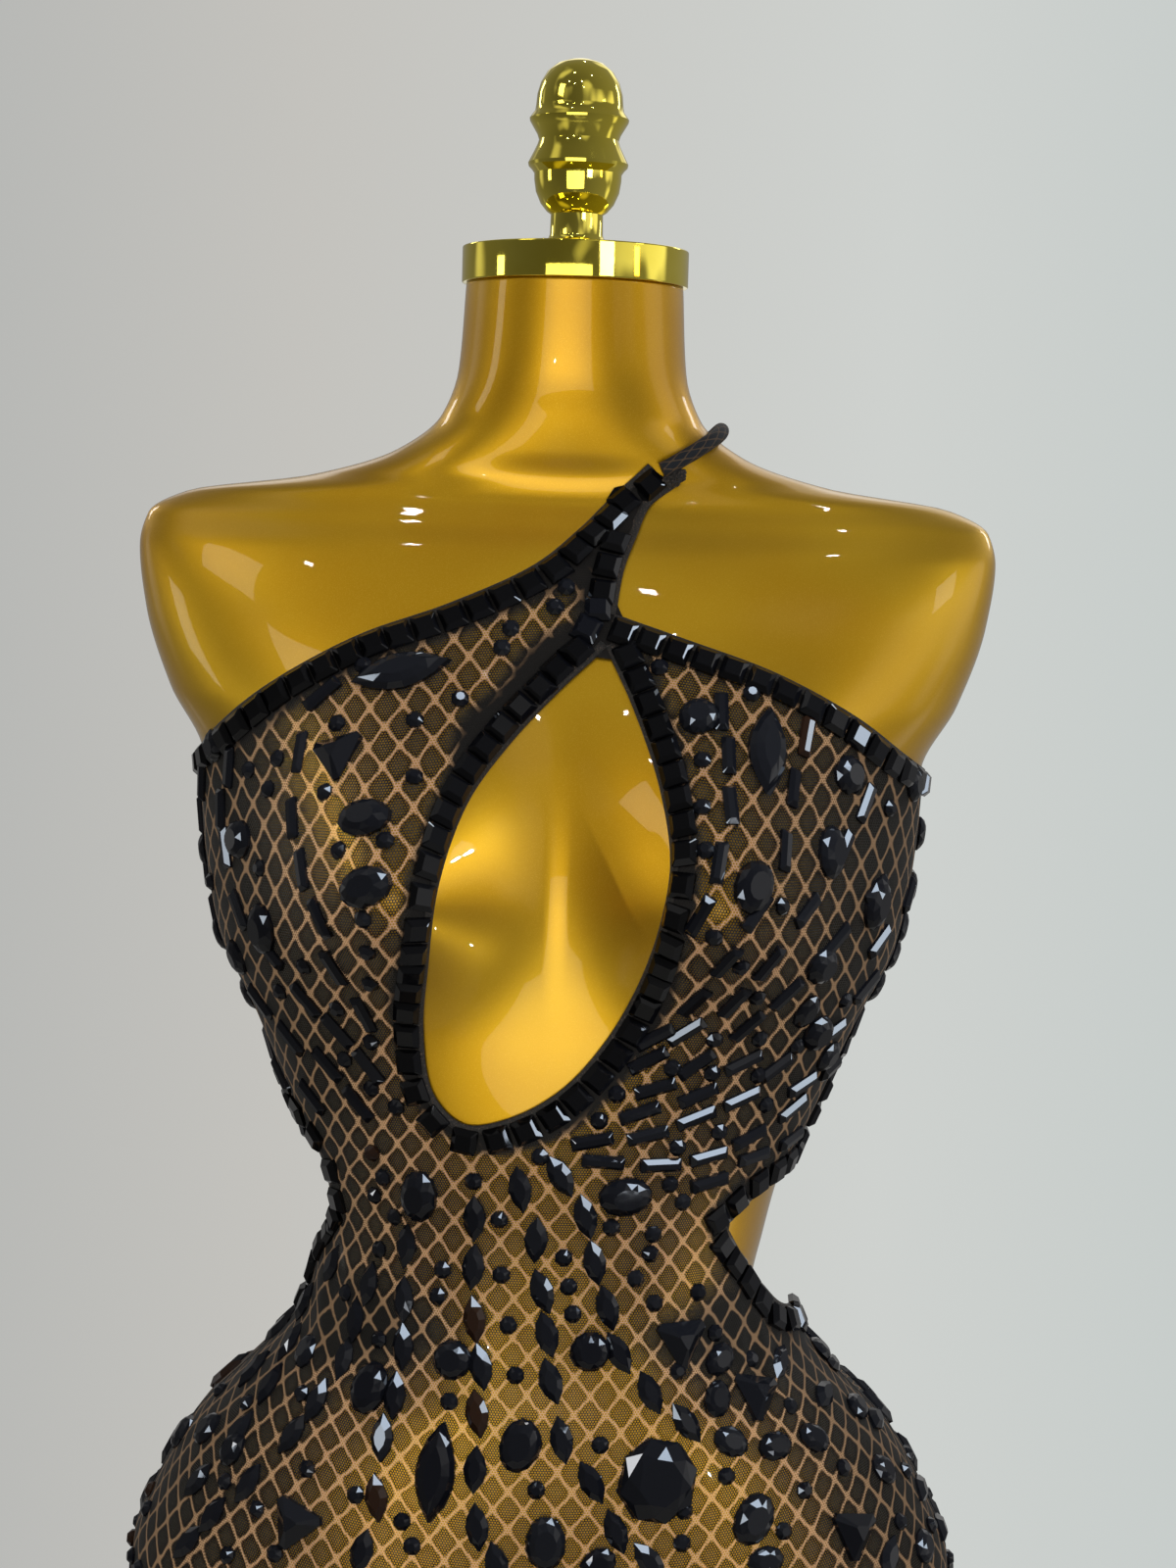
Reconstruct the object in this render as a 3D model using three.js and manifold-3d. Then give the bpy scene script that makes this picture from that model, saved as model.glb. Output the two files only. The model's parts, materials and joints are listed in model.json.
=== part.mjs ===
// A one-shoulder evening gown of printed stretch net, sewn all over with large black cut stones, worn by a
// limbless gilt dress form on a pole and a round foot.
//
// Units are millimetres, +Z is up, the front faces -Y and +X is the wearer's left. The origin is the centre of
// the foot's underside, on the floor.
//
// Both the form and the gown are lofts of horizontal sections. A section is a rounded oval: half its width, its
// depth in front of and behind the centre, where that centre lies in Y, and how square the oval is. A point on
// such a surface is named by its turn (0 is the wearer's left side, 90 the back, 180 the wearer's right side,
// 270 the front, in degrees) and its height z.

import * as THREE from "three";
import { mergeVertices } from "three/addons/utils/BufferGeometryUtils.js";
import Module from "manifold-3d";

const wasm = await Module();
wasm.setup();

// ---------------------------------------------------------------------------------------------------------
// Driving sizes
// ---------------------------------------------------------------------------------------------------------

const WALL = 1.2; // thickness of the net panels
const SEAM = 0.3; // space between two pieces that meet
const REST = 0.6; // space between the form and the cloth that lies on it
const FORM_FOOT = 790; // height of the form's closed underside
const NECK_TOP = 1489; // height where the neck is cut flat under its cap
const HEM = 12; // height of the hem above the floor

const table = (names, rows) => {
  const keys = names.split(" ");
  return rows.map((row) => Object.fromEntries(keys.map((key, i) => [key, row[i]])));
};

const FORM_SECTIONS = table("z half front back centre square", [
  [790, 158, 88, 118, 0, 2.3],
  [830, 175, 97, 134, 0, 2.3],
  [880, 182, 102, 143, 0, 2.3],
  [927, 181, 103, 141, 0, 2.3],
  [950, 172, 101, 132, 0, 2.25],
  [984, 153, 98, 114, 0, 2.2],
  [1006, 131, 94, 101, -1, 2.2],
  [1028, 101, 89, 88, -2, 2.15],
  [1045, 90.5, 86, 82, -3, 2.1],
  [1076, 96, 84, 80, -3, 2.1],
  [1107, 104, 86, 82, -3, 2.1],
  [1140, 119, 89, 87, -3, 2.15],
  [1170, 132, 91, 93, -2, 2.2],
  [1206, 149, 91, 99, 0, 2.3],
  [1250, 156.5, 89, 104, 2, 2.3],
  [1282, 159, 86, 104, 4, 2.4],
  [1310, 174, 80, 100, 6, 2.5],
  [1345, 186, 68, 88, 8, 2.5],
  [1372, 189.5, 55, 72, 8, 2.4],
  [1386, 186, 44, 62, 8, 2.3],
  [1396, 168, 38, 54, 8, 2.2],
  [1404, 115, 37, 50, 7, 2.1],
  [1416, 77, 40, 50, 5, 2.0],
  [1432, 57, 43, 50, 3, 2.0],
  [1452, 50, 46, 50, 1, 2.0],
  [1489, 47.5, 47.5, 47.5, 0, 2.0],
]);

// The gown lies on the form from the ribs up and round the hips. It bridges the hollow of the waist at the
// sides, and hangs free below the hips.
const GOWN_SECTIONS = table("z half front back centre square", [
  [12, 268, 262, 276, 0, 2.0],
  [90, 238, 228, 246, 0, 2.0],
  [220, 203, 182, 204, 0, 2.1],
  [380, 178, 146, 172, 0, 2.2],
  [560, 172, 124, 154, 0, 2.25],
  [720, 178, 112, 148, 0, 2.3],
  [830, 183, 104, 145, 0, 2.3],
  [880, 184, 102.5, 143.5, 0, 2.3],
  [927, 182, 103, 141, 0, 2.3],
  [950, 173, 101, 132, 0, 2.25],
  [984, 154, 98, 114, 0, 2.2],
  [1006, 132.5, 94, 101, -1, 2.2],
  [1028, 112, 89, 88, -2, 2.15],
  [1045, 105, 86, 82, -3, 2.1],
  [1060, 101, 84.6, 80.6, -3, 2.1],
  [1076, 97.4, 84, 80, -3, 2.1],
  [1107, 105.5, 86, 82, -3, 2.1],
  ...FORM_SECTIONS.filter((row) => row.z >= 1140 && row.z <= 1432).map((row) => Object.values(row)),
]);

// The two cups, which push the front out: how far, where, and how wide they are.
const CUP = { out: 46, across: 72, z: 1232, wide: 46, above: 62, below: 40 };

// Soft flutes in the free part of the skirt, from FLUTE_TOP down: turn, how far out at the hem, half width.
const FLUTE_TOP = 640;
const FLUTES = table("turn out spread", [
  [18, 20, 11],
  [57, 26, 13],
  [98, 18, 11],
  [137, 24, 12],
  [171, 19, 10],
  [212, 23, 12],
  [249, 19, 11],
  [288, 25, 12],
  [330, 18, 12],
]);

// The rows of points up the gown and, from FORM_FOOT on, up the form.
const SKIRT_ROWS = [HEM, 100, 205, 325, 470, 640, 760, 830, 880];
const WAIST_ROWS = [927, 952, 978, 1003, 1028, 1052, 1078, 1104, 1130];
const RIB_ROWS = [1150, 1170, 1190, 1208, 1226, 1244, 1262, 1282];
const NECK_ROWS = [1302, 1324, 1350, 1372, 1386, 1395, 1402, 1408, 1414, 1420];
const ROWS = [...SKIRT_ROWS, ...WAIST_ROWS, ...RIB_ROWS, ...NECK_ROWS];

// The columns of points round them: even turns behind, and closer ones over the cups in front.
const BACK_STEPS = 22;
const FRONT_STEPS = [6, 12, 17, 22, 27, 32, 37, 43, 50, 58, 68, 79, 90];
const BACK_TURNS = Array.from({ length: BACK_STEPS + 1 }, (_, i) => (180 * i) / BACK_STEPS);
const FRONT_TURNS = [
  ...FRONT_STEPS.map((step) => 270 - step).reverse(),
  270,
  ...FRONT_STEPS.map((step) => 270 + step),
];
const BOTH_TURNS = [...BACK_TURNS, ...FRONT_TURNS.slice(1)];

// Half of the space at a side seam, in degrees of turn.
const SEAM_TURN = 0.062;

// ---------------------------------------------------------------------------------------------------------
// Surfaces
// ---------------------------------------------------------------------------------------------------------

// A function of z that passes through one column of a table: cubics whose slopes never overshoot the rows.
function smoothColumn(rows, name) {
  const z = rows.map((row) => row.z);
  const v = rows.map((row) => row[name]);
  const gap = z.slice(1).map((top, i) => top - z[i]);
  const rise = gap.map((g, i) => (v[i + 1] - v[i]) / g);
  const slope = v.map((_, i) => {
    if (i === 0) return rise[0];
    if (i === v.length - 1) return rise[i - 1];
    if (rise[i - 1] * rise[i] <= 0) return 0;
    const w1 = 2 * gap[i] + gap[i - 1];
    const w2 = gap[i] + 2 * gap[i - 1];
    return (w1 + w2) / (w1 / rise[i - 1] + w2 / rise[i]);
  });
  return (height) => {
    const at = THREE.MathUtils.clamp(height, z[0], z[z.length - 1]);
    let k = 0;
    while (k < gap.length - 1 && z[k + 1] < at) k += 1;
    const t = (at - z[k]) / gap[k];
    const bend = t * (1 - t) * gap[k] * ((1 - t) * slope[k] - t * slope[k + 1]);
    const blend = t * t * (3 - 2 * t);
    return THREE.MathUtils.lerp(v[k], v[k + 1], blend) + bend;
  };
}

const loft = (rows) => ({
  half: smoothColumn(rows, "half"),
  front: smoothColumn(rows, "front"),
  back: smoothColumn(rows, "back"),
  centre: smoothColumn(rows, "centre"),
  square: smoothColumn(rows, "square"),
});

const FORM = loft(FORM_SECTIONS);
const GOWN = loft(GOWN_SECTIONS);

// How far the cups push the front out at a place.
function cupAt(x, z) {
  const side = (Math.abs(x) - CUP.across) / CUP.wide;
  const up = (z - CUP.z) / (z > CUP.z ? CUP.above : CUP.below);
  return CUP.out * Math.exp(-side * side - up * up);
}

// How far the skirt's flutes stand out at a turn, in degrees, and a height.
function fluteAt(turn, z) {
  const grown = THREE.MathUtils.clamp((FLUTE_TOP - z) / (FLUTE_TOP - HEM), 0, 1) ** 1.4;
  const sum = FLUTES.reduce((total, flute) => {
    const away = (THREE.MathUtils.euclideanModulo(turn - flute.turn + 180, 360) - 180) / flute.spread;
    return total + flute.out * Math.exp(-away * away);
  }, 0);
  return grown * sum;
}

const signedPower = (value, power) => Math.sign(value) * Math.abs(value) ** power;

// The point of a surface at a turn and a height.
function surfacePoint(surface, turn, z) {
  const angle = THREE.MathUtils.degToRad(turn);
  const power = 2 / surface.square(z);
  const across = signedPower(Math.cos(angle), power);
  const along = signedPower(Math.sin(angle), power);
  const x = surface.half(z) * across;
  const isFront = along < 0;
  const depth = isFront ? surface.front(z) : surface.back(z);
  const cups = isFront ? cupAt(x, z) * (1 - (1 + along) ** 4) : 0;
  const point = new THREE.Vector3(x, surface.centre(z) + depth * along - cups, z);
  if (surface === GOWN && z < FLUTE_TOP) {
    const out = new THREE.Vector3(Math.cos(angle), Math.sin(angle), 0);
    point.addScaledVector(out, fluteAt(turn, z));
  }
  return point;
}

const NUDGE = 0.4; // step, in degrees and millimetres, that slopes are measured over

// The steps of a surface round it, for one degree of turn, and up it, for one millimetre of height.
function slopesAt(surface, turn, z) {
  const round = surfacePoint(surface, turn + NUDGE, z).sub(surfacePoint(surface, turn - NUDGE, z));
  const up = surfacePoint(surface, turn, z + NUDGE).sub(surfacePoint(surface, turn, z - NUDGE));
  return { round: round.divideScalar(2 * NUDGE), up: up.divideScalar(2 * NUDGE) };
}

function normalAt(surface, turn, z) {
  const { round, up } = slopesAt(surface, turn, z);
  return round.cross(up).normalize();
}

const outsidePoint = (surface, turn, z, out) =>
  surfacePoint(surface, turn, z).addScaledVector(normalAt(surface, turn, z), out);

// The turn at which a surface's front or back has a given x at a height.
function turnAt(surface, x, z, isBack) {
  const share = THREE.MathUtils.clamp(Math.abs(x) / surface.half(z), 0, 1) ** (surface.square(z) / 2);
  const angle = THREE.MathUtils.radToDeg(Math.acos(Math.sign(x) * share));
  return isBack ? angle : 360 - angle;
}

// The place reached on the gown, as turn and height, by a short straight step from another place.
function stepOnGown({ turn, z }, step) {
  const { round, up } = slopesAt(GOWN, turn, z);
  const [rr, ru, uu] = [round.dot(round), round.dot(up), up.dot(up)];
  const [sr, su] = [step.dot(round), step.dot(up)];
  const whole = rr * uu - ru * ru;
  return { turn: turn + (sr * uu - su * ru) / whole, z: z + (su * rr - sr * ru) / whole };
}

// The point of the gown's outer face, which is flat between its rows and columns, at a turn and a height.
function clothPoint({ turn, z }, out = 0) {
  const around = THREE.MathUtils.clamp(turn, 0, 360);
  const c = Math.max(1, BOTH_TURNS.findIndex((value) => value >= around)) - 1;
  const r = Math.max(1, ROWS.findIndex((value) => value >= z)) - 1;
  const s = (around - BOTH_TURNS[c]) / (BOTH_TURNS[c + 1] - BOTH_TURNS[c]);
  const t = (z - ROWS[r]) / (ROWS[r + 1] - ROWS[r]);
  const at = (i, j) => outsidePoint(GOWN, BOTH_TURNS[c + i], ROWS[r + j], REST + WALL);
  const middle = s > t ? at(1, 0) : at(0, 1);
  const [first, second] = s > t ? [s, t] : [t, s];
  const start = at(0, 0);
  return start
    .clone()
    .addScaledVector(middle.clone().sub(start), first)
    .addScaledVector(at(1, 1).sub(middle), second)
    .addScaledVector(normalAt(GOWN, around, z), out);
}

// ---------------------------------------------------------------------------------------------------------
// Solids
// ---------------------------------------------------------------------------------------------------------

function geometryOf(points, triangles) {
  const geometry = new THREE.BufferGeometry();
  geometry.setAttribute("position", new THREE.Float32BufferAttribute(points.flatMap((p) => [p.x, p.y, p.z]), 3));
  geometry.setIndex(triangles.flat());
  return geometry;
}

function solidOf(geometry) {
  geometry.deleteAttribute("normal");
  geometry.deleteAttribute("uv");
  const merged = mergeVertices(geometry, 1e-3);
  const mesh = new wasm.Mesh({
    numProp: 3,
    vertProperties: merged.attributes.position.array,
    triVerts: new Uint32Array(merged.index.array),
  });
  return new wasm.Manifold(mesh);
}

function geometryFrom(solid) {
  const mesh = solid.getMesh();
  const geometry = new THREE.BufferGeometry();
  geometry.setAttribute("position", new THREE.Float32BufferAttribute(mesh.vertProperties, 3));
  geometry.setIndex(Array.from(mesh.triVerts));
  return geometry;
}

// The two triangles of a four-sided face.
const quad = (a, b, c, d) => [a, b, c, a, c, d];

// A closed tube through rings of points, each ring in the same order, with flat ends.
function ringSolid(rings) {
  const size = rings[0].length;
  const triangles = [];
  for (let r = 0; r < rings.length - 1; r += 1) {
    for (let i = 0; i < size; i += 1) {
      const j = (i + 1) % size;
      triangles.push(quad(r * size + i, r * size + j, (r + 1) * size + j, (r + 1) * size + i));
    }
  }
  const top = (rings.length - 1) * size;
  for (let i = 1; i < size - 1; i += 1) {
    triangles.push([0, i + 1, i]);
    triangles.push([top, top + i, top + i + 1]);
  }
  return geometryOf(rings.flat(), triangles);
}

// A sheet of the gown's wall through the given turns and heights, closed all round.
function wallSheet(turns, heights) {
  const size = turns.length;
  const layer = (out) => heights.flatMap((z) => turns.map((turn) => outsidePoint(GOWN, turn, z, out)));
  const points = [...layer(REST), ...layer(REST + WALL)];
  const inner = (row, column) => row * size + column;
  const outer = (row, column) => (heights.length + row) * size + column;
  const triangles = [];
  for (let r = 0; r < heights.length - 1; r += 1) {
    for (let c = 0; c < size - 1; c += 1) {
      triangles.push(quad(outer(r, c), outer(r, c + 1), outer(r + 1, c + 1), outer(r + 1, c)));
      triangles.push([inner(r, c), inner(r + 1, c + 1), inner(r, c + 1)]);
      triangles.push([inner(r, c), inner(r + 1, c), inner(r + 1, c + 1)]);
    }
    triangles.push(quad(inner(r, 0), outer(r, 0), outer(r + 1, 0), inner(r + 1, 0)));
    triangles.push(quad(outer(r, size - 1), inner(r, size - 1), inner(r + 1, size - 1), outer(r + 1, size - 1)));
  }
  const top = heights.length - 1;
  for (let c = 0; c < size - 1; c += 1) {
    triangles.push(quad(inner(0, c), inner(0, c + 1), outer(0, c + 1), outer(0, c)));
    triangles.push(quad(outer(top, c), outer(top, c + 1), inner(top, c + 1), inner(top, c)));
  }
  return solidOf(geometryOf(points, triangles));
}

// ---------------------------------------------------------------------------------------------------------
// The cut of the gown: the outlines seen from the front, as curves through points in X and Z
// ---------------------------------------------------------------------------------------------------------

const SIDE = { neck: 1281, bodice: 1146, skirt: 1031 }; // heights where the edges reach the side seams

const EDGES = {
  neckline_right: table("x z", [
    [-160, SIDE.neck],
    [-147, 1295],
    [-125, 1313],
    [-87, 1335],
    [-48, 1350],
    [-13, 1367],
    [5, 1382],
    [21, 1399],
    [34, 1412],
  ]),
  strap_inner: table("x z", [
    [46, 1403],
    [35, 1394],
    [29, 1380],
    [24, 1366],
    [21, 1347],
  ]),
  neckline_left: table("x z", [
    [21, 1347],
    [49, 1338],
    [90, 1324],
    [125, 1306],
    [146, 1291],
    [160, SIDE.neck],
  ]),
  bodice_left: table("x z", [
    [140, SIDE.bodice],
    [122, 1118],
    [104, 1106],
    [88, 1099],
    [75, 1088],
  ]),
  waist_left: table("x z", [
    [75, 1088],
    [82, 1074],
    [90, 1060],
    [99, 1047],
    [120, SIDE.skirt],
  ]),
  bodice_right: table("x z", [
    [-140, SIDE.bodice],
    [-116, 1128],
    [-104, 1117],
    [-97, 1105],
    [-93, 1090],
  ]),
  waist_right: table("x z", [
    [-93, 1090],
    [-96, 1074],
    [-101, 1060],
    [-108, 1047],
    [-120, SIDE.skirt],
  ]),
  keyhole: table("x z", [
    [18, 1334],
    [30, 1310],
    [42, 1278],
    [47, 1250],
    [44, 1226],
    [35, 1196],
    [22, 1171],
    [4, 1150],
    [-18, 1137],
    [-36, 1134],
    [-49, 1146],
    [-54, 1174],
    [-52, 1205],
    [-48, 1240],
    [-38, 1270],
    [-22, 1293],
    [-2, 1315],
    [18, 1334],
  ]),
};

// Behind, the gown is bare between a band across the shoulder blades and the top of the skirt.
const BACK_EDGES = {
  band_top: table("x z", [
    [-160, SIDE.neck],
    [-80, 1273],
    [0, 1270],
    [80, 1273],
    [160, SIDE.neck],
  ]),
  band_bottom: table("x z", [
    [140, SIDE.bodice],
    [100, 1164],
    [50, 1182],
    [0, 1188],
    [-50, 1182],
    [-100, 1164],
    [-140, SIDE.bodice],
  ]),
  skirt_top: table("x z", [
    [-120, SIDE.skirt],
    [-60, 1008],
    [0, 1000],
    [60, 1008],
    [120, SIDE.skirt],
  ]),
};

const curveOf = (points) => new THREE.CatmullRomCurve3(points, false, "centripetal");

// An edge as evenly spaced points in the XZ plane.
function edgePoints(rows, spacing) {
  const curve = curveOf(rows.map((row) => new THREE.Vector3(row.x, 0, row.z)));
  return curve.getSpacedPoints(Math.round(curve.getLength() / spacing));
}

// A closed block with an outline in X and Z, counter-clockwise, that cuts right through the gown.
function cutBlock(outline) {
  const shape = new THREE.Shape(outline.map((p) => new THREE.Vector2(p.x, p.z)));
  const geometry = new THREE.ExtrudeGeometry(shape, { depth: 2 * FAR, bevelEnabled: false });
  geometry.translate(0, 0, -FAR);
  geometry.rotateX(Math.PI / 2);
  return solidOf(geometry);
}

const FAR = 400; // beyond the gown, sideways and in depth
const EDGE_STEP = 9; // spacing of the points along a cut edge
const place = (x, z) => new THREE.Vector3(x, 0, z);
const joined = (...names) => names.flatMap((name) => edgePoints(EDGES[name], EDGE_STEP));

function frontPiece() {
  const turns = FRONT_TURNS.map((turn) => THREE.MathUtils.clamp(turn, 180 + SEAM_TURN, 360 - SEAM_TURN));
  const outline = cutBlock([
    place(-FAR, 0),
    place(FAR, 0),
    place(FAR, SIDE.skirt),
    ...joined("bodice_left", "waist_left").reverse(),
    place(FAR, SIDE.bodice),
    place(FAR, SIDE.neck),
    ...joined("strap_inner", "neckline_left").reverse(),
    ...joined("neckline_right").reverse(),
    place(-FAR, SIDE.neck),
    place(-FAR, SIDE.bodice),
    ...joined("bodice_right", "waist_right"),
    place(-FAR, SIDE.skirt),
  ]);
  const keyhole = cutBlock(joined("keyhole").slice(1).reverse());
  return wallSheet(turns, ROWS).intersect(outline).subtract(keyhole);
}

function backPiece(heights, outline) {
  const turns = BACK_TURNS.map((turn) => THREE.MathUtils.clamp(turn, SEAM_TURN, 180 - SEAM_TURN));
  return wallSheet(turns, heights).intersect(cutBlock(outline));
}

function bandPiece() {
  const heights = ROWS.filter((z) => z >= 1104 && z <= 1302);
  const top = edgePoints(BACK_EDGES.band_top, 20).reverse();
  const bottom = edgePoints(BACK_EDGES.band_bottom, 14).reverse();
  return backPiece(heights, [
    place(-FAR, SIDE.bodice),
    ...bottom,
    place(FAR, SIDE.bodice),
    place(FAR, SIDE.neck),
    ...top,
    place(-FAR, SIDE.neck),
  ]);
}

function skirtBackPiece() {
  const heights = ROWS.filter((z) => z <= 1052);
  const top = edgePoints(BACK_EDGES.skirt_top, 16).reverse();
  return backPiece(heights, [place(-FAR, 0), place(FAR, 0), place(FAR, SIDE.skirt), ...top, place(-FAR, SIDE.skirt)]);
}

// ---------------------------------------------------------------------------------------------------------
// Cut stones, raised in the cloth's outer face
// ---------------------------------------------------------------------------------------------------------

const SUNK = 3; // how deep a stone is made below the outer face, before the core is taken off it
const STONES = {
  square: { long: 10.4, wide: 10.4, high: 3.8, sides: 4, table: 0.7, pointed: false },
  oval: { long: 23, wide: 17, high: 5.5, sides: 8, table: 0.6, pointed: false },
  round: { long: 17, wide: 17, high: 5.5, sides: 8, table: 0.6, pointed: false },
  navette: { long: 42, wide: 17, high: 6, sides: 6, table: 0.5, pointed: true },
  triangle: { long: 25, wide: 25, high: 7, sides: 3, table: 0.25, pointed: false },
  octagon: { long: 34, wide: 31, high: 8, sides: 8, table: 0.55, pointed: false },
};

// Corners of a stone's outline, across and along it, counter-clockwise. A pointed stone has its two points at
// the ends of its length.
function stoneOutline({ long, wide, sides, pointed }) {
  const isFlat = sides % 4 === 0;
  const first = isFlat ? Math.PI / sides : Math.PI / 2;
  const grow = isFlat ? 1 / Math.cos(Math.PI / sides) : 1;
  return Array.from({ length: sides }, (_, i) => {
    const angle = first + (2 * Math.PI * i) / sides;
    const isEnd = Math.abs(Math.cos(angle)) < 0.01;
    const along = (long / 2) * Math.sin(angle) * grow * (pointed && !isEnd ? 0.6 : 1);
    return [(wide / 2) * Math.cos(angle) * grow * (pointed ? 1.15 : 1), along];
  });
}

// A stone of a kind at a place on the gown, its length along a direction.
function stoneSolid(kind, { turn, z }, direction) {
  const size = STONES[kind];
  const foot = clothPoint({ turn, z });
  const normal = normalAt(GOWN, turn, z);
  const across = direction.clone().cross(normal).normalize();
  const along = normal.clone().cross(across);
  const offset = (a, l) => across.clone().multiplyScalar(a).addScaledVector(along, l);
  const outline = stoneOutline(size);
  const base = outline.map(([a, l]) => clothPoint(stepOnGown({ turn, z }, offset(a, l)), -SUNK));
  const top = outline.map(([a, l]) =>
    foot.clone().add(offset(a * size.table, l * size.table)).addScaledVector(normal, size.high),
  );
  return solidOf(ringSolid([base, top]));
}

// The direction that leans clockwise from upright by lean degrees, at a place on the gown.
function leaning({ turn, z }, lean) {
  const level = slopesAt(GOWN, turn, z).round.normalize();
  const up = normalAt(GOWN, turn, z).cross(level);
  const tilt = THREE.MathUtils.degToRad(lean);
  return up.multiplyScalar(Math.cos(tilt)).addScaledVector(level, Math.sin(tilt));
}

// Large stones, by the place of their middle in X and Z.
const FRONT_STONES = table("kind x z lean", [
  ["navette", -68, 1321, 72],
  ["triangle", -91, 1287, 40],
  ["oval", -78, 1263, 80],
  ["oval", -76, 1237, 70],
  ["round", -134, 1248, 0],
  ["oval", -122, 1212, 10],
  ["round", 57, 1306, 0],
  ["navette", 85, 1293, 16],
  ["round", 120, 1283, 0],
  ["oval", 112, 1252, 20],
  ["oval", 79, 1241, 30],
  ["oval", 134, 1228, 20],
  ["round", 110, 1205, 0],
  ["round", 111, 1173, 0],
  ["oval", 32, 1105, 85],
  ["oval", -54, 1101, 5],
  ["round", -38, 1033, 0],
  ["round", 19, 1039, 0],
  ["triangle", 57, 1042, 60],
  ["oval", -73, 1017, 10],
  ["oval", -9, 1000, 15],
  ["navette", -44, 987, 5],
  ["octagon", 49, 986, 10],
  ["triangle", 90, 1016, 75],
  ["triangle", -103, 960, 80],
  ["oval", 90, 968, 30],
  ["oval", 3, 960, 0],
  ["triangle", 134, 957, 70],
  ["oval", -70, 925, -20],
  ["octagon", -24, 888, 0],
  ["oval", 66, 895, 10],
  ["navette", 22, 835, -8],
]);

const BACK_STONES = table("kind x z lean", [
  ["navette", -88, 965, 12],
  ["octagon", 34, 950, 10],
  ["oval", 96, 955, 25],
  ["triangle", -24, 920, 20],
  ["oval", -96, 880, -10],
  ["oval", 60, 872, 10],
]);

// Rows of square stones that follow the edges. from and to are how far a row starts after the edge's start and
// stops before its end. The cloth lies on the left of the edge where side is 1, and on its right where it is -1.
const SQUARE_ROWS = table("edge side from to", [
  ["neckline_right", -1, 4, 1],
  ["strap_inner", -1, 34, 4],
  ["neckline_left", -1, 1, 4],
  ["bodice_left", -1, 2, -8],
  ["waist_left", -1, 1, 2],
  ["bodice_right", 1, 2, -5],
  ["waist_right", 1, 1, 2],
  ["keyhole", 1, 15, 5],
]);

const SQUARE_PITCH = 12;
const SQUARE_INSET = 6.4; // from the cloth's edge to the middle of a row

function squareRow({ edge, side, from, to }) {
  const places = edgePoints(EDGES[edge], EDGE_STEP).map(({ x, z }) => ({ turn: turnAt(GOWN, x, z, false), z }));
  const curve = curveOf(places.map(({ turn, z }) => outsidePoint(GOWN, turn, z, REST + WALL)));
  const turns = curveOf(places.map(({ turn, z }) => new THREE.Vector3(turn, 0, z)));
  const length = curve.getLength();
  const half = STONES.square.long / 2;
  const gaps = Math.floor((length - from - to - 2 * half) / SQUARE_PITCH);
  const pitch = (length - from - to - 2 * half) / gaps;
  return Array.from({ length: gaps + 1 }, (_, i) => {
    const distance = from + half + i * pitch;
    const share = THREE.MathUtils.clamp(distance / length, 0, 1);
    const along = curve.getTangentAt(share);
    const { x: turn, z } = turns.getPoint(curve.getUtoTmapping(share));
    const onEdge = { turn, z };
    const inward = normalAt(GOWN, onEdge.turn, onEdge.z).cross(along).normalize().multiplyScalar(side);
    const step = inward.multiplyScalar(SQUARE_INSET).addScaledVector(along, distance - share * length);
    return stoneSolid("square", stepOnGown(onEdge, step), along);
  });
}

const largeStone = (isBack) => (stone) => {
  const where = { turn: turnAt(GOWN, stone.x, stone.z, isBack), z: stone.z };
  return stoneSolid(stone.kind, where, leaning(where, isBack ? -stone.lean : stone.lean));
};

// The whole inside of the gown out to the middle of the wall, which no stone reaches into.
function coreSolid() {
  const rings = ROWS.map((z) =>
    BOTH_TURNS.slice(0, -1).map((turn) => outsidePoint(GOWN, turn, z, REST + WALL / 2)),
  );
  return solidOf(ringSolid(rings));
}

const CORE = coreSolid();

const withStones = (panel, stones) =>
  stones.reduce((solid, stone) => solid.add(stone.subtract(CORE)), panel);

// ---------------------------------------------------------------------------------------------------------
// The cord from the strap's tip, over the shoulder, to the back band
// ---------------------------------------------------------------------------------------------------------

const CORD = { radius: 3.4, sides: 7, steps: 24, clear: 1 };
const CORD_PATH = table("turn z", [
  [295, 1410.3],
  [311, 1416],
  [330, 1421],
  [360, 1425],
  [386, 1422],
  [414, 1412],
  [435, 1398],
  [441, 1365],
  [443, 1320],
  [442, 1271.4],
]);

function cordGeometry() {
  const path = curveOf(CORD_PATH.map(({ turn, z }) => new THREE.Vector3(turn, 0, z)));
  const centres = path
    .getPoints(2 * CORD.steps)
    .map((at) => outsidePoint(FORM, at.x, at.z, CORD.radius + CORD.clear));
  const section = new THREE.Shape(
    Array.from({ length: CORD.sides }, (_, i) => {
      const angle = (2 * Math.PI * i) / CORD.sides;
      return new THREE.Vector2(CORD.radius * Math.cos(angle), CORD.radius * Math.sin(angle));
    }),
  );
  return new THREE.ExtrudeGeometry(section, { steps: CORD.steps, extrudePath: curveOf(centres) });
}

// ---------------------------------------------------------------------------------------------------------
// The form and its stand
// ---------------------------------------------------------------------------------------------------------

const FORM_ROWS = [FORM_FOOT, 798, ...ROWS.filter((z) => z >= 830), 1426, 1433, 1443, 1458, NECK_TOP];

function formGeometry() {
  const rings = FORM_ROWS.map((z) => {
    const share = z === FORM_FOOT ? 0.92 : z < 800 ? 0.98 : 1;
    return BOTH_TURNS.slice(0, -1).map((turn) => {
      const point = surfacePoint(FORM, turn, z);
      return point.set(point.x * share, point.y * share, z);
    });
  });
  return ringSolid(rings);
}

function turned(profile, segments) {
  const points = profile.map(({ radius, z }) => new THREE.Vector2(radius, z));
  return new THREE.LatheGeometry(points, segments).rotateX(Math.PI / 2);
}

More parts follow.
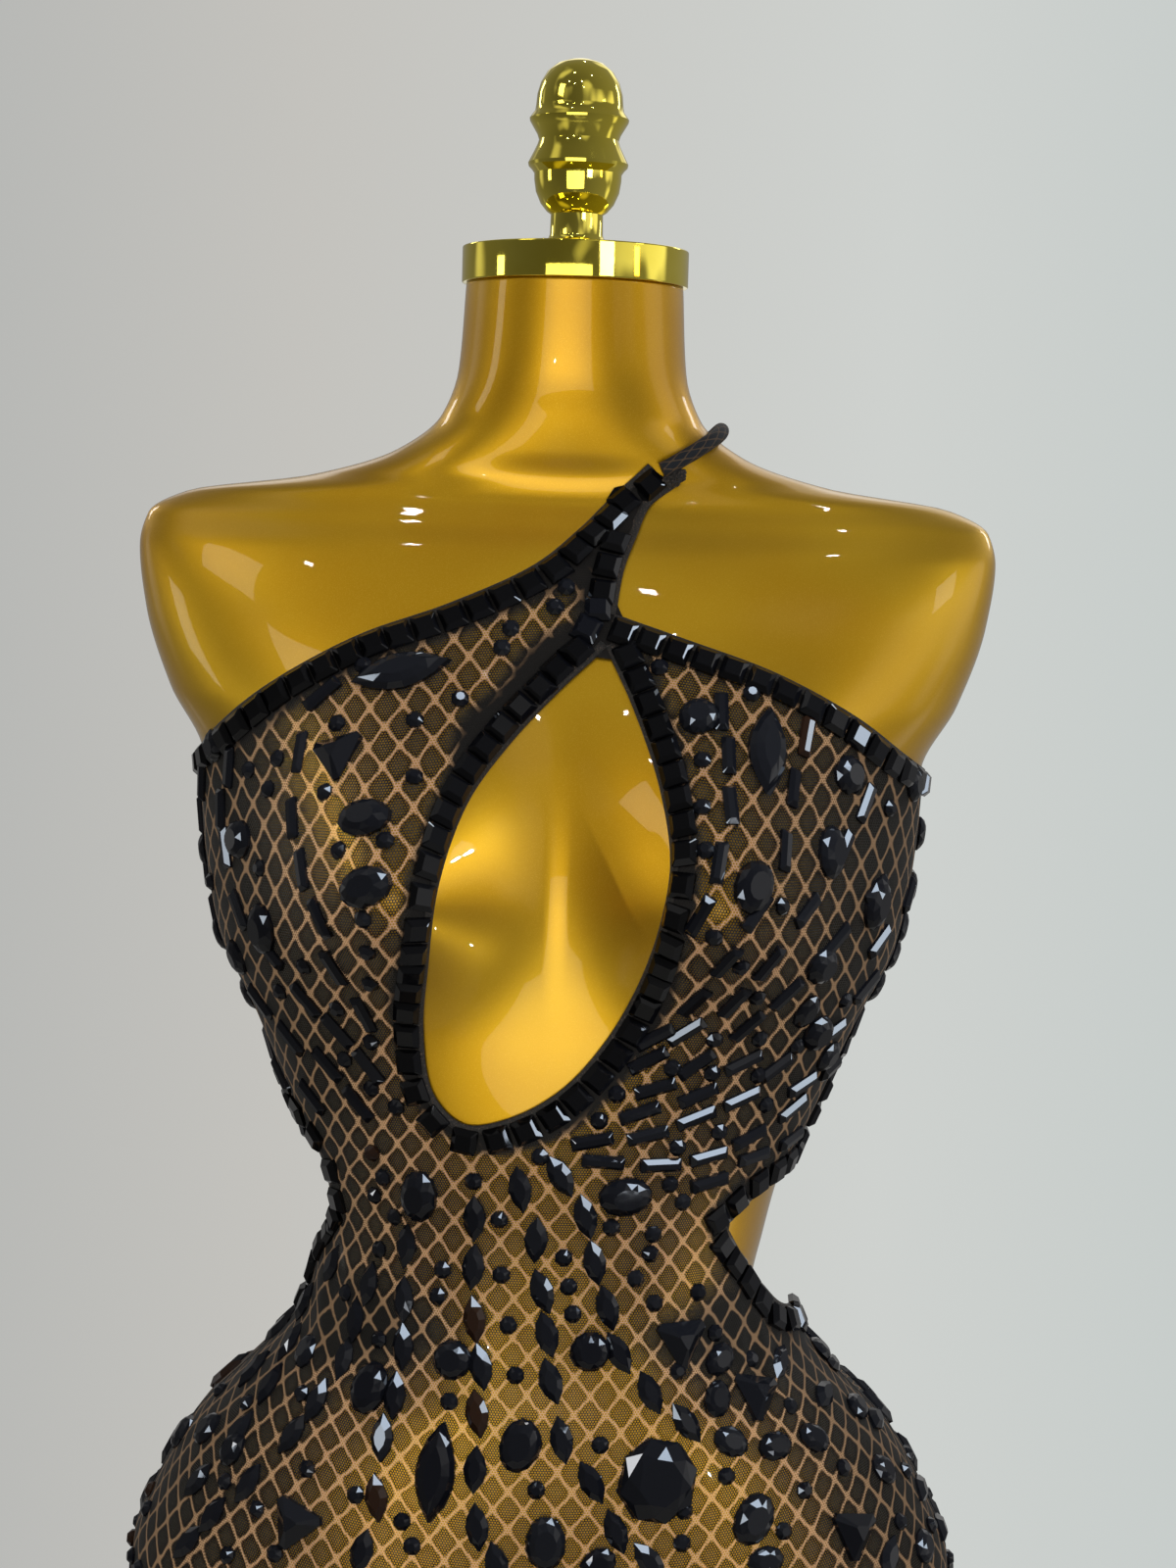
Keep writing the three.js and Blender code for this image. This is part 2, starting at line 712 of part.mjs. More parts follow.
const CAP = table("radius z", [
  [0, NECK_TOP + SEAM],
  [49.5, NECK_TOP + SEAM],
  [49.5, 1505],
  [0, 1505],
]);

const FINIAL = table("radius z", [
  [0, 1505 + SEAM],
  [14.5, 1505 + SEAM],
  [14.5, 1508.5],
  [11.5, 1511.5],
  [11.5, 1520.5],
  [18, 1529.5],
  [19, 1537.5],
  [21.8, 1541],
  [21.8, 1543],
  [17.6, 1552],
  [21.6, 1559.5],
  [21.6, 1562],
  [19, 1568],
  [16.5, 1578],
  [10.5, 1584],
  [0, 1587],
]);

const POLE = table("radius z", [
  [0, 24],
  [12.5, 24],
  [12.5, FORM_FOOT - SEAM],
  [0, FORM_FOOT - SEAM],
]);

const FOOT = table("radius z", [
  [0, 0],
  [165, 0],
  [165, 6],
  [161, 8],
  [28, 13],
  [20, 24 - SEAM],
  [0, 24 - SEAM],
]);

// ---------------------------------------------------------------------------------------------------------
// The object
// ---------------------------------------------------------------------------------------------------------

const gilt = new THREE.MeshStandardMaterial({ color: 0xc9992e, roughness: 0.25, metalness: 0.6 });
const brass = new THREE.MeshStandardMaterial({ color: 0xc7b04a, roughness: 0.08, metalness: 1 });
const net = new THREE.MeshStandardMaterial({ color: 0x3a3026, roughness: 0.7, metalness: 0 });

const object = new THREE.Group();

function addPiece(name, geometry, material) {
  const mesh = new THREE.Mesh(geometry, material.clone());
  mesh.name = name;
  object.add(mesh);
}

addPiece("stand_foot", turned(FOOT, 40), brass);
addPiece("stand_pole", turned(POLE, 16), brass);
addPiece("form_torso", formGeometry(), gilt);
addPiece("neck_cap", turned(CAP, 36), brass);
addPiece("finial", turned(FINIAL, 20), brass);
const frontStones = [...FRONT_STONES.map(largeStone(false)), ...SQUARE_ROWS.flatMap(squareRow)];
addPiece("gown_front", geometryFrom(withStones(frontPiece(), frontStones)), net);
addPiece("gown_back_band", geometryFrom(bandPiece()), net);
addPiece("gown_skirt_back", geometryFrom(withStones(skirtBackPiece(), BACK_STONES.map(largeStone(true)))), net);
addPiece("strap_cord", cordGeometry(), net);

export default object;
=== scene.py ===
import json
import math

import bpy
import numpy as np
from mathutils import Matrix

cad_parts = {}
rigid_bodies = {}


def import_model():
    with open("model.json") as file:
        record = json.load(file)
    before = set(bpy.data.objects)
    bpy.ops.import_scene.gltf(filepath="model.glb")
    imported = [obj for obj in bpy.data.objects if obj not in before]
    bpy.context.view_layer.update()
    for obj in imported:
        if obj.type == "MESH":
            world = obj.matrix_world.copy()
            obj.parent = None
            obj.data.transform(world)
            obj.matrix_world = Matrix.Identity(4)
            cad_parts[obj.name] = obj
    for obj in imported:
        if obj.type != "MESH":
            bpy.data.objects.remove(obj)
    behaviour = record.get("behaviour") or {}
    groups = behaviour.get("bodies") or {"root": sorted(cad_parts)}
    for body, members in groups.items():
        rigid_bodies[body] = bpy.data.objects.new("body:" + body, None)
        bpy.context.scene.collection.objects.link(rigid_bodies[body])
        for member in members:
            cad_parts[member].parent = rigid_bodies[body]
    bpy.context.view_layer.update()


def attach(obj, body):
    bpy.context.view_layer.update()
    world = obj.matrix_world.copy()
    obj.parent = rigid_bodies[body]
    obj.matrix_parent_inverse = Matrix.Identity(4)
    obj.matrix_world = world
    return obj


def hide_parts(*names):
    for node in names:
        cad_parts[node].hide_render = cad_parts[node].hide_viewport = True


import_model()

# A one-shoulder evening gown of printed stretch net, sewn all over with black cut stones, on a gilt dress
# form with a pole and a round foot.
#
# Sizes are millimetres, and are made metres where a mesh is made. A place on the form or the gown is named by
# its turn in degrees, 0 at the wearer's left side, 90 behind, 180 at the wearer's right side and 270 in
# front, and its height z. The gown's print and net read the UV map, which is in millimetres of cloth.

MM = 0.001

# ---------------------------------------------------------------------------------------------------------
# Driving sizes
# ---------------------------------------------------------------------------------------------------------

CLOTH = 0.6  # thickness of the net
FACE = 1.5  # from the form to the net's outer face
FORM_FOOT = 790
NECK_TOP = 1489
HEM = 12
SEAM_TURN = 0.062  # half of the space at a side seam, in degrees of turn

# Sections of the form: height, half width, depth in front, depth behind, centre in Y, squareness.
FORM_SECTIONS = np.array(
    [
        (790, 158, 88, 118, 0, 2.3), (830, 175, 97, 134, 0, 2.3), (880, 182, 102, 143, 0, 2.3),
        (927, 181, 103, 141, 0, 2.3), (950, 172, 101, 132, 0, 2.25), (984, 153, 98, 114, 0, 2.2),
        (1006, 131, 94, 101, -1, 2.2), (1028, 101, 89, 88, -2, 2.15), (1045, 90.5, 86, 82, -3, 2.1),
        (1076, 96, 84, 80, -3, 2.1), (1107, 104, 86, 82, -3, 2.1), (1140, 119, 89, 87, -3, 2.15),
        (1170, 132, 91, 93, -2, 2.2), (1206, 149, 91, 99, 0, 2.3), (1250, 156.5, 89, 104, 2, 2.3),
        (1282, 159, 86, 104, 4, 2.4), (1310, 174, 80, 100, 6, 2.5), (1345, 186, 68, 88, 8, 2.5),
        (1372, 189.5, 55, 72, 8, 2.4), (1386, 186, 44, 62, 8, 2.3), (1396, 168, 38, 54, 8, 2.2),
        (1404, 115, 37, 50, 7, 2.1), (1416, 77, 40, 50, 5, 2.0), (1432, 57, 43, 50, 3, 2.0),
        (1452, 50, 46, 50, 1, 2.0), (1489, 47.5, 47.5, 47.5, 0, 2.0),
    ]
)

# The gown's sections where it leaves the form: the flared skirt, and the waist, whose hollow it bridges.
SKIRT_SECTIONS = np.array(
    [
        (12, 268, 262, 276, 0, 2.0), (90, 238, 228, 246, 0, 2.0), (220, 203, 182, 204, 0, 2.1),
        (380, 178, 146, 172, 0, 2.2), (560, 172, 124, 154, 0, 2.25), (720, 178, 112, 148, 0, 2.3),
        (830, 183, 104, 145, 0, 2.3), (880, 184, 102.5, 143.5, 0, 2.3), (927, 182, 103, 141, 0, 2.3),
        (950, 173, 101, 132, 0, 2.25), (984, 154, 98, 114, 0, 2.2), (1006, 132.5, 94, 101, -1, 2.2),
        (1028, 112, 89, 88, -2, 2.15), (1045, 105, 86, 82, -3, 2.1), (1060, 101, 84.6, 80.6, -3, 2.1),
        (1076, 97.4, 84, 80, -3, 2.1), (1107, 105.5, 86, 82, -3, 2.1),
    ]
)
IN_BODICE = (FORM_SECTIONS[:, 0] >= 1140) & (FORM_SECTIONS[:, 0] <= 1432)
GOWN_SECTIONS = np.vstack([SKIRT_SECTIONS, FORM_SECTIONS[IN_BODICE]])

# The cups: how far out, how far from the middle, their height, half width, reach above and below.
CUP_OUT, CUP_ACROSS, CUP_Z, CUP_WIDE, CUP_ABOVE, CUP_BELOW = 46, 72, 1232, 46, 62, 40

# Flutes of the free skirt, from FLUTE_TOP down: turn, how far out at the hem, half width.
FLUTE_TOP = 640
FLUTE_GROWTH = 1.4  # power of the height's share at which the flutes grow
FLUTES = np.array(
    [
        (18, 20, 11), (57, 26, 13), (98, 18, 11), (137, 24, 12), (171, 19, 10), (212, 23, 12),
        (249, 19, 11), (288, 25, 12), (330, 18, 12),
    ]
)

# ---------------------------------------------------------------------------------------------------------
# Surfaces
# ---------------------------------------------------------------------------------------------------------


def smooth_column(heights, values):
    """A function of height through one column of a table: cubics whose end slopes are the weighted harmonic
    mean of the steps on both sides, or 0 at a peak, so that they never overshoot the rows."""
    gap = np.diff(heights)
    rise = np.diff(values) / gap
    before, after = 2 * gap[1:] + gap[:-1], gap[1:] + 2 * gap[:-1]
    steady = rise[:-1] * rise[1:] > 0
    first = np.where(steady, rise[:-1], 1)
    second = np.where(steady, rise[1:], 1)
    middle = np.where(steady, (before + after) / (before / first + after / second), 0)
    slope = np.concatenate([[rise[0]], middle, [rise[-1]]])

    def at(z):
        z = np.clip(z, heights[0], heights[-1])
        k = np.clip(np.searchsorted(heights, z) - 1, 0, len(gap) - 1)
        t = (z - heights[k]) / gap[k]
        bend = t * (1 - t) * gap[k] * ((1 - t) * slope[k] - t * slope[k + 1])
        return values[k] + (values[k + 1] - values[k]) * t * t * (3 - 2 * t) + bend

    return at


def signed_power(value, power):
    """The sign of a value times its size raised to a power."""
    return np.sign(value) * np.abs(value) ** power


def cup_at(x, z):
    """A bell over each cup: out * exp(-(sideways)^2 - (up)^2), wider above its middle than below."""
    side = (np.abs(x) - CUP_ACROSS) / CUP_WIDE
    up = (z - CUP_Z) / np.where(z > CUP_Z, CUP_ABOVE, CUP_BELOW)
    return CUP_OUT * np.exp(-side * side - up * up)


def flute_at(turn, z):
    """The sum of one bell round the turn for each flute, which grows from 0 at FLUTE_TOP to all of it at the
    hem."""
    grown = np.clip((FLUTE_TOP - z) / (FLUTE_TOP - HEM), 0, 1) ** FLUTE_GROWTH
    away = (turn[..., None] - FLUTES[:, 0] + 180) % 360 - 180
    return grown * (FLUTES[:, 1] * np.exp(-((away / FLUTES[:, 2]) ** 2))).sum(-1)


class Surface:
    """A loft of rounded ovals. The point at a turn t and height z is half * sgn(cos t)|cos t|^p across and
    centre + depth * sgn(sin t)|sin t|^p along, with p = 2 / squareness, less the cups in front, plus, on the
    gown, the flutes along (cos t, sin t)."""

    def __init__(self, sections, has_flutes):
        columns = [smooth_column(sections[:, 0], sections[:, k]) for k in range(1, 6)]
        self.half, self.front, self.back, self.centre, self.square = columns
        self.has_flutes = has_flutes

    def point(self, turn, z, cups=1.0):
        """The point at a turn and a height, with a share of the cups."""
        turn, z = np.broadcast_arrays(np.asarray(turn, float), np.asarray(z, float))
        angle = np.radians(turn)
        power = 2 / self.square(z)
        along = signed_power(np.sin(angle), power)
        x = self.half(z) * signed_power(np.cos(angle), power)
        depth = np.where(along < 0, self.front(z), self.back(z))
        out = np.where(along < 0, cup_at(x, z) * (1 - (1 + along) ** 4), 0) * cups
        point = np.stack([x, self.centre(z) + depth * along - out, z], -1)
        if self.has_flutes:
            flute = flute_at(turn, z)
            point[..., 0] += np.cos(angle) * flute
            point[..., 1] += np.sin(angle) * flute
        return point

    def slopes(self, turn, z, nudge=0.4):
        """Steps of the surface for one degree of turn and for one millimetre of height."""
        turn, z = np.broadcast_arrays(np.asarray(turn, float), np.asarray(z, float))
        round_ = (self.point(turn + nudge, z) - self.point(turn - nudge, z)) / (2 * nudge)
        up = (self.point(turn, z + nudge) - self.point(turn, z - nudge)) / (2 * nudge)
        return round_, up

    def normal(self, turn, z):
        """The direction square to both slopes, outwards."""
        round_, up = self.slopes(turn, z)
        return unit(np.cross(round_, up))

    def outside(self, turn, z, out):
        """The point that lies out along the normal."""
        return self.point(turn, z) + self.normal(turn, z) * np.asarray(out, float)[..., None]

    def turn_at(self, x, z, is_back=False):
        """The turn in front, or behind, whose point has a given x: the inverse of the rounded oval."""
        share = np.clip(np.abs(x) / self.half(z), 0, 1) ** (self.square(z) / 2)
        angle = np.degrees(np.arccos(np.sign(x) * share))
        return angle if is_back else 360 - angle

    def step(self, turn, z, move):
        """The place, as turn and height, that a short straight move along the surface reaches: the move is
        split between the two slopes by least squares."""
        round_, up = self.slopes(turn, z)
        rr, ru, uu = (round_ * round_).sum(-1), (round_ * up).sum(-1), (up * up).sum(-1)
        sr, su = (move * round_).sum(-1), (move * up).sum(-1)
        whole = rr * uu - ru * ru
        return turn + (sr * uu - su * ru) / whole, z + (su * rr - sr * ru) / whole


def unit(vectors):
    """Each vector divided by its length."""
    return vectors / np.linalg.norm(vectors, axis=-1, keepdims=True)


FORM = Surface(FORM_SECTIONS, has_flutes=False)
GOWN = Surface(GOWN_SECTIONS, has_flutes=True)

# ---------------------------------------------------------------------------------------------------------
# Camera, lamps and room
# ---------------------------------------------------------------------------------------------------------

IMAGE = (1200, 1600)
FOCAL_PX = 3000  # a lens of 67.5 mm on a sensor 36 mm high
SENSOR = 36
CAMERA_AT = np.array([11.8, -1301.0, 1380.0])
PITCH_DOWN, ROLL = np.radians(4.8), np.radians(1.6)


def camera_axes():
    """Right, up and forward: looking along +Y, pitched down, then rolled."""
    forward = np.array([0, np.cos(PITCH_DOWN), -np.sin(PITCH_DOWN)])
    level = np.array([1.0, 0, 0])
    up = np.array([0, np.sin(PITCH_DOWN), np.cos(PITCH_DOWN)])
    right = level * np.cos(ROLL) + up * np.sin(ROLL)
    return right, up * np.cos(ROLL) - level * np.sin(ROLL), forward


RIGHT, UP, FORWARD = camera_axes()


def stand_at(thing, right, up, back, at):
    """Puts a camera or a lamp at a place in metres, with its three axes along these directions."""
    axes = np.eye(4)
    axes[:3] = np.stack([right, up, back, at], -1)
    thing.matrix_world = Matrix(axes.tolist())


def add_camera():
    """An upright frame without depth of field."""
    data = bpy.data.cameras.new("camera")
    data.lens = SENSOR * FOCAL_PX / IMAGE[1]
    data.sensor_width = SENSOR
    data.clip_start = 0.05
    camera = bpy.data.objects.new("camera", data)
    bpy.context.collection.objects.link(camera)
    stand_at(camera, RIGHT, UP, -FORWARD, CAMERA_AT * MM)
    bpy.context.scene.camera = camera


def add_lamp(data, at, facing):
    """A lamp at a place in metres that faces along a direction."""
    lamp = bpy.data.objects.new(data.name, data)
    bpy.context.collection.objects.link(lamp)
    side = unit(np.cross(facing, [0, 0, 1.0]))
    stand_at(lamp, side, np.cross(side, facing), -facing, at)
    return lamp


LAMPS_AIM = (0, 0, 1.2)


def add_area_light(name, at, size, power, colour=(1, 1, 1)):
    """A rectangle of light at a place in metres that faces the gown."""
    data = bpy.data.lights.new(name, "AREA")
    data.shape = "RECTANGLE"
    data.size, data.size_y = size
    data.energy, data.color = power, colour
    return add_lamp(data, at, unit(np.array(LAMPS_AIM, float) - np.array(at, float)))


# Lamps, by the group of pieces that they shine on: name, place and size in metres, power and colour. The
# ceiling spots shine on everything.
LIGHTS = {
    "cloth_and_form": (
        ("window_front", (-0.25, -2.5, 0.9), (2.2, 1.4), 26.0, (1.0, 0.97, 0.88)),
        ("lamp_right", (1.85, -0.72, 2.12), (0.34, 0.34), 1.4, (0.98, 1.0, 0.95)),
        ("lamp_left", (-1.4, -1.0, 2.55), (0.5, 0.5), 3.0, (1.0, 0.95, 0.84)),
        ("lamp_arm_left", (-1.9, -0.35, 1.5), (0.3, 0.4), 1.6, (1.0, 0.98, 0.86)),
        ("behind_left", (-1.6, 1.5, 2.3), (0.3, 0.6), 3.0, (1.0, 1.0, 1.0)),
        ("behind_right", (1.6, 1.4, 2.2), (0.3, 0.6), 3.0, (0.95, 0.98, 1.0)),
    ),
    "brass": (
        ("brass_window", (1.15, -1.85, 1.72), (0.55, 0.8), 14.0, (1.0, 1.0, 0.95)),
        ("brass_lamp", (2.1, -1.0, 1.7), (0.22, 0.5), 3.0, (1.0, 0.62, 0.20)),
    ),
    "stones": (
        ("sparkle_top", (0.78, -1.05, 2.85), (1.1, 0.7), 66.0, (0.70, 0.83, 1.0)),
        ("sparkle_right", (1.9, -0.55, 2.2), (0.6, 0.6), 25.0, (0.74, 0.86, 1.0)),
        ("sparkle_left", (-1.6, -1.7, 2.4), (0.25, 0.4), 9.0, (0.95, 0.97, 1.0)),
        ("sparkle_low", (0.9, -1.9, 0.4), (0.3, 0.3), 3.0, (0.85, 0.92, 1.0)),
        ("sparkle_near", (-1.35, -1.9, 1.62), (0.55, 0.6), 22.0, (0.78, 0.88, 1.0)),
    ),
    "squares": (
        ("bevels_right", (2.2, -0.45, 1.55), (0.8, 0.8), 46.0, (0.72, 0.84, 1.0)),
        ("bevels_top", (0.2, 0.35, 2.9), (1.2, 0.4), 25.0, (0.80, 0.90, 1.0)),
        ("tables_few", (0.9, -1.6, 2.3), (0.10, 0.14), 2.2, (0.95, 0.98, 1.0)),
    ),
}
CEILING_SPOTS = (
    (-0.45, -1.5),
    (0.12, -1.3),
    (0.4, -2.0),
    (-0.85, -1.1),
    (0.62, -0.5),
    (-0.3, -0.45),
    (0.1, 0.9),
)
CEILING, SPOT_SIZE, SPOT_POWER = 2.9, 0.04, 0.5

# Spot lamps that make one patch of the gold shine, also through the net: name, the patch's middle in the
# frame of 1200 x 1600, its radius in metres and the power.
PATCH_LAMPS = (
    ("patch_neck", 566, 372, 0.046, 3.2),
    ("patch_keyhole_left", 482, 868, 0.034, 9.0),
    ("patch_keyhole_low_left", 482, 965, 0.034, 4.0),
    ("patch_bust_left", 352, 862, 0.052, 17.0),
    ("patch_hip_left", 430, 1490, 0.044, 8.0),
    ("patch_hip_right", 725, 1505, 0.050, 9.0),
    ("patch_waist_right", 705, 1325, 0.044, 8.0),
)
PATCH_LAMP_FAR = 1.4  # metres from a patch to its lamp
PATCH_LAMP_SPREAD = 1.6  # of the cone beyond the patch, as it fades to its rim
PATCH_LAMP_SOFT = 0.012  # metres
PATCH_LAMP_COLOUR = (0.97, 1.0, 1.0)


def add_patch_lamps(form, net):
    """Each lamp stands on the ray that leaves the camera and is mirrored by the form at its patch: with v the
    way from the camera and n the surface's normal, along v - 2 (v . n) n. It lights the form and the net, and
    is shaded by nothing but the form."""
    lit, shading = bpy.data.collections.new("lit_patches"), bpy.data.collections.new("shading_patches")
    lit.objects.link(form)
    lit.objects.link(net)
    shading.objects.link(form)
    for name, px, py, radius, power in PATCH_LAMPS:
        turn, z = place_in_view([px], [py], FORM, 0)
        at, normal = FORM.point(turn, z)[0] * MM, FORM.normal(turn, z)[0]
        way = unit(at - CAMERA_AT * MM)
        mirrored = way - 2 * np.dot(way, normal) * normal
        data = bpy.data.lights.new(name, "SPOT")
        data.energy, data.color = power, PATCH_LAMP_COLOUR
        data.spot_size = 2 * math.atan(PATCH_LAMP_SPREAD * radius / PATCH_LAMP_FAR)
        data.spot_blend = 1.0
        data.shadow_soft_size = PATCH_LAMP_SOFT
        lamp = add_lamp(data, at + mirrored * PATCH_LAMP_FAR, -mirrored)
        lamp.light_linking.receiver_collection = lit
        lamp.light_linking.blocker_collection = shading


def lit_group(piece):
    """The group of lamps that shines on a piece. The brass has lamps of its own besides."""
    if piece.name.startswith("squares"):
        return "squares"
    return "stones" if piece.data.materials[0] == JET else "cloth_and_form"


def add_lights():
    """The lamps, each linked to the pieces of its group."""
    groups = {}
    for group, lights in LIGHTS.items():
        groups[group] = bpy.data.collections.new("lit_" + group)
        for name, at, size, power, colour in lights:
            lamp = add_area_light(name, at, size, power, colour)
            lamp.light_linking.receiver_collection = groups[group]
    for i, (x, y) in enumerate(CEILING_SPOTS):
        add_area_light(f"ceiling_spot_{i + 1}", (x, y, CEILING), (SPOT_SIZE, SPOT_SIZE), SPOT_POWER)
    for piece in bpy.data.objects:
        if piece.type == "MESH":
            groups[lit_group(piece)].objects.link(piece)
            if piece.data.materials[0] == BRASS:
                groups["brass"].objects.link(piece)


class Nodes:
    """The nodes of a material or of the room, made and joined by name."""

    def __init__(self, tree):
        self.tree = tree

    def node(self, kind, **values):
        """A node with its own settings and its sockets' values, whichever each name stands for."""
        node = self.tree.nodes.new("ShaderNode" + kind)
        for key, value in values.items():
            if hasattr(node, key):
                setattr(node, key, value)
            else:
                node.inputs[key.replace("_", " ")].default_value = value
        return node

    def join(self, source, target):
        """Joins two sockets."""
        self.tree.links.new(source, target)

    def feed(self, *pairs):
        """Gives each socket its number, its colour or the output that it is joined to."""
        for socket, value in pairs:
            if isinstance(value, tuple):
                socket.default_value = (*value, 1)
            elif isinstance(value, (int, float)):
                socket.default_value = value
            else:
                self.join(value, socket)

    def math(self, operation, a, b=0.0, c=0.0):
        """The result of one operation on numbers or outputs."""
        node = self.node("Math", operation=operation)
        self.feed(*zip(node.inputs, (a, b, c)))
        return node.outputs[0]

    def noise(self, scale, detail=2.0, source="Object"):
        """Cloudy noise from 0 to 1."""
        coords = self.node("TexCoord")
        noise = self.node("TexNoise", Scale=scale, Detail=detail)
        self.join(coords.outputs[source], noise.inputs["Vector"])
        return noise.outputs["Fac"]

    def ramp(self, value, *stops):
        """A colour ramp through (position, colour) stops."""
        node = self.node("ValToRGB")
        elements = node.color_ramp.elements
        while len(elements) < len(stops):
            elements.new(0.5)
        for element, (position, colour) in zip(elements, stops):
            element.position = position
            element.color = (*colour, 1)
        self.join(value, node.inputs["Fac"])
        return node.outputs["Color"]

    def blend(self, factor, a, b):
        """Colour a where the factor is 0 and colour b where it is 1."""
        node = self.node("Mix", data_type="RGBA")
        self.feed((node.inputs[0], factor), (node.inputs[6], a), (node.inputs[7], b))
        return node.outputs[2]

    def smoothstep(self, value, low, high, start=0.0, stop=1.0):
        """A smooth rise from start, where the value is low, to stop, where it is high."""
        node = self.node("MapRange", interpolation_type="SMOOTHSTEP", clamp=True)
        ends = ("Value", value), ("From Min", low), ("From Max", high), ("To Min", start), ("To Max", stop)
        self.feed(*((node.inputs[name], end) for name, end in ends))
        return node.outputs["Result"]


# The wall behind, from left to right: the direction's X plus a half, and the colour.
WALL = (
    (0.26, (0.45, 0.46, 0.45)),
    (0.40, (0.55, 0.54, 0.51)),
    (0.60, (0.62, 0.64, 0.62)),
    (0.78, (0.54, 0.59, 0.58)),
)
# The room's brightness in reflections: a middle value, how it grows along X, Y and Z, and the cloudy patches
# in it, by their noise's scale, the noise between which they rise, and their shares of the brightness.
ROOM_MIDDLE, ROOM_GROWTH = 0.32, (0.09, 0.12, -0.02)
ROOM_COLOUR = (1.0, 0.985, 0.96, 1)
PATCH_SCALE, PATCH_NOISE, PATCH_SHARES = 1.7, (0.52, 0.70), (0.62, 3.0)


def add_world():
    """A pale room. Behind the gown it is warm on the left and cooler and lighter on the right. In reflections
    it is grey and patchy, as furniture and lit panels make it, and darker on the left and behind the
    camera."""
    world = bpy.data.worlds.new("pale_room")
    bpy.context.scene.world = world
    world.use_nodes = True
    room = Nodes(world.node_tree)
    room.tree.nodes.clear()
    way = room.node("TexCoord").outputs["Generated"]

    split = room.node("SeparateXYZ")
    room.join(way, split.inputs[0])
    seen = room.node("Background")
    room.join(room.ramp(room.math("ADD", split.outputs["X"], 0.5), *WALL), seen.inputs["Color"])

    mirrored = room.node("Background", Color=ROOM_COLOUR)
    grow = room.node("VectorMath", operation="DOT_PRODUCT")
    grow.inputs[1].default_value = ROOM_GROWTH
    room.join(way, grow.inputs[0])
    bright = room.math("ADD", grow.outputs["Value"], ROOM_MIDDLE)
    patches = room.smoothstep(room.noise(PATCH_SCALE, 1.0, "Generated"), *PATCH_NOISE, *PATCH_SHARES)
    room.join(room.math("MULTIPLY", bright, patches), mirrored.inputs["Strength"])

    mix = room.node("MixShader")
    room.join(room.node("LightPath").outputs["Is Camera Ray"], mix.inputs["Fac"])
    room.join(mirrored.outputs[0], mix.inputs[1])
    room.join(seen.outputs[0], mix.inputs[2])
    room.join(mix.outputs[0], room.node("OutputWorld").inputs["Surface"])


# ---------------------------------------------------------------------------------------------------------
# Meshes
# ---------------------------------------------------------------------------------------------------------


def grid_faces(rows, columns, closed=False):
    """The four corners of each cell of a grid of points, row after row, as an array."""
    c = np.arange(columns if closed else columns - 1)
    n = (c + 1) % columns
    r = np.arange(rows - 1)[:, None] * columns
    return np.stack([r + c, r + n, r + columns + n, r + columns + c], -1).reshape(-1, 4)


def closed_faces(rows, columns):
    """The faces of a closed grid of points and of a fan at each end of it, to a single point there. The two
    single points come after the grid's."""
    count = rows * columns
    c = np.arange(columns)
    n = (c + 1) % columns
    low = np.stack([n, c, np.full(columns, count)], -1)
    high = np.stack([count - columns + c, count - columns + n, np.full(columns, count + 1)], -1)
    return [grid_faces(rows, columns, closed=True), low, high]


def make_mesh(name, points, faces, material, smooth=True, uv=None, **values):
    """A mesh from points in millimetres and blocks of faces, each a list of corners, with a UV map in
    millimetres and named values, one a point, where they are given."""
    mesh = bpy.data.meshes.new(name)
    corners = [list(map(int, face)) for block in faces for face in block]
    mesh.from_pydata((np.asarray(points, float).reshape(-1, 3) * MM).tolist(), [], corners)
    mesh.polygons.foreach_set("use_smooth", np.full(len(mesh.polygons), smooth))
    if uv is not None:
        corner = np.empty(len(mesh.loops), np.int32)
        mesh.loops.foreach_get("vertex_index", corner)
        layer = mesh.uv_layers.new(name="cloth")
        layer.data.foreach_set("uv", np.asarray(uv, float).reshape(-1, 2)[corner].ravel())
    for key, value in values.items():
        attribute = mesh.attributes.new(key, "FLOAT", "POINT")
        attribute.data.foreach_set("value", np.asarray(value, float).ravel())
    mesh.materials.append(material)
    mesh.update()
    piece = bpy.data.objects.new(name, mesh)
    bpy.context.collection.objects.link(piece)
    return piece


def settle(piece, slot, *nodes):
    """Puts a finished piece on the one body, and in place of the CAD nodes that it stands for, if there are
    any.
    The slot is not used."""
    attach(piece, "root")
    if nodes:
        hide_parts(*nodes)


def lathe(profile, columns=128):
    """A surface of revolution round Z: each (radius, z) of the profile, which starts and ends on the axis,
    at even turns. The two ends are single points."""
    radius, z = np.array(profile, float).T
    angle = np.arange(columns) * 2 * np.pi / columns
    inner = np.stack(
        [
            np.outer(radius[1:-1], np.cos(angle)),
            np.outer(radius[1:-1], np.sin(angle)),
            np.repeat(z[1:-1, None], columns, 1),
        ],
        -1,
    ).reshape(-1, 3)
    points = np.vstack([inner, [(0, 0, z[0])], [(0, 0, z[-1])]])
    return points, closed_faces(len(radius) - 2, columns)


SHORT_SIDE = 0.45  # of a side that a rounded corner may take at most


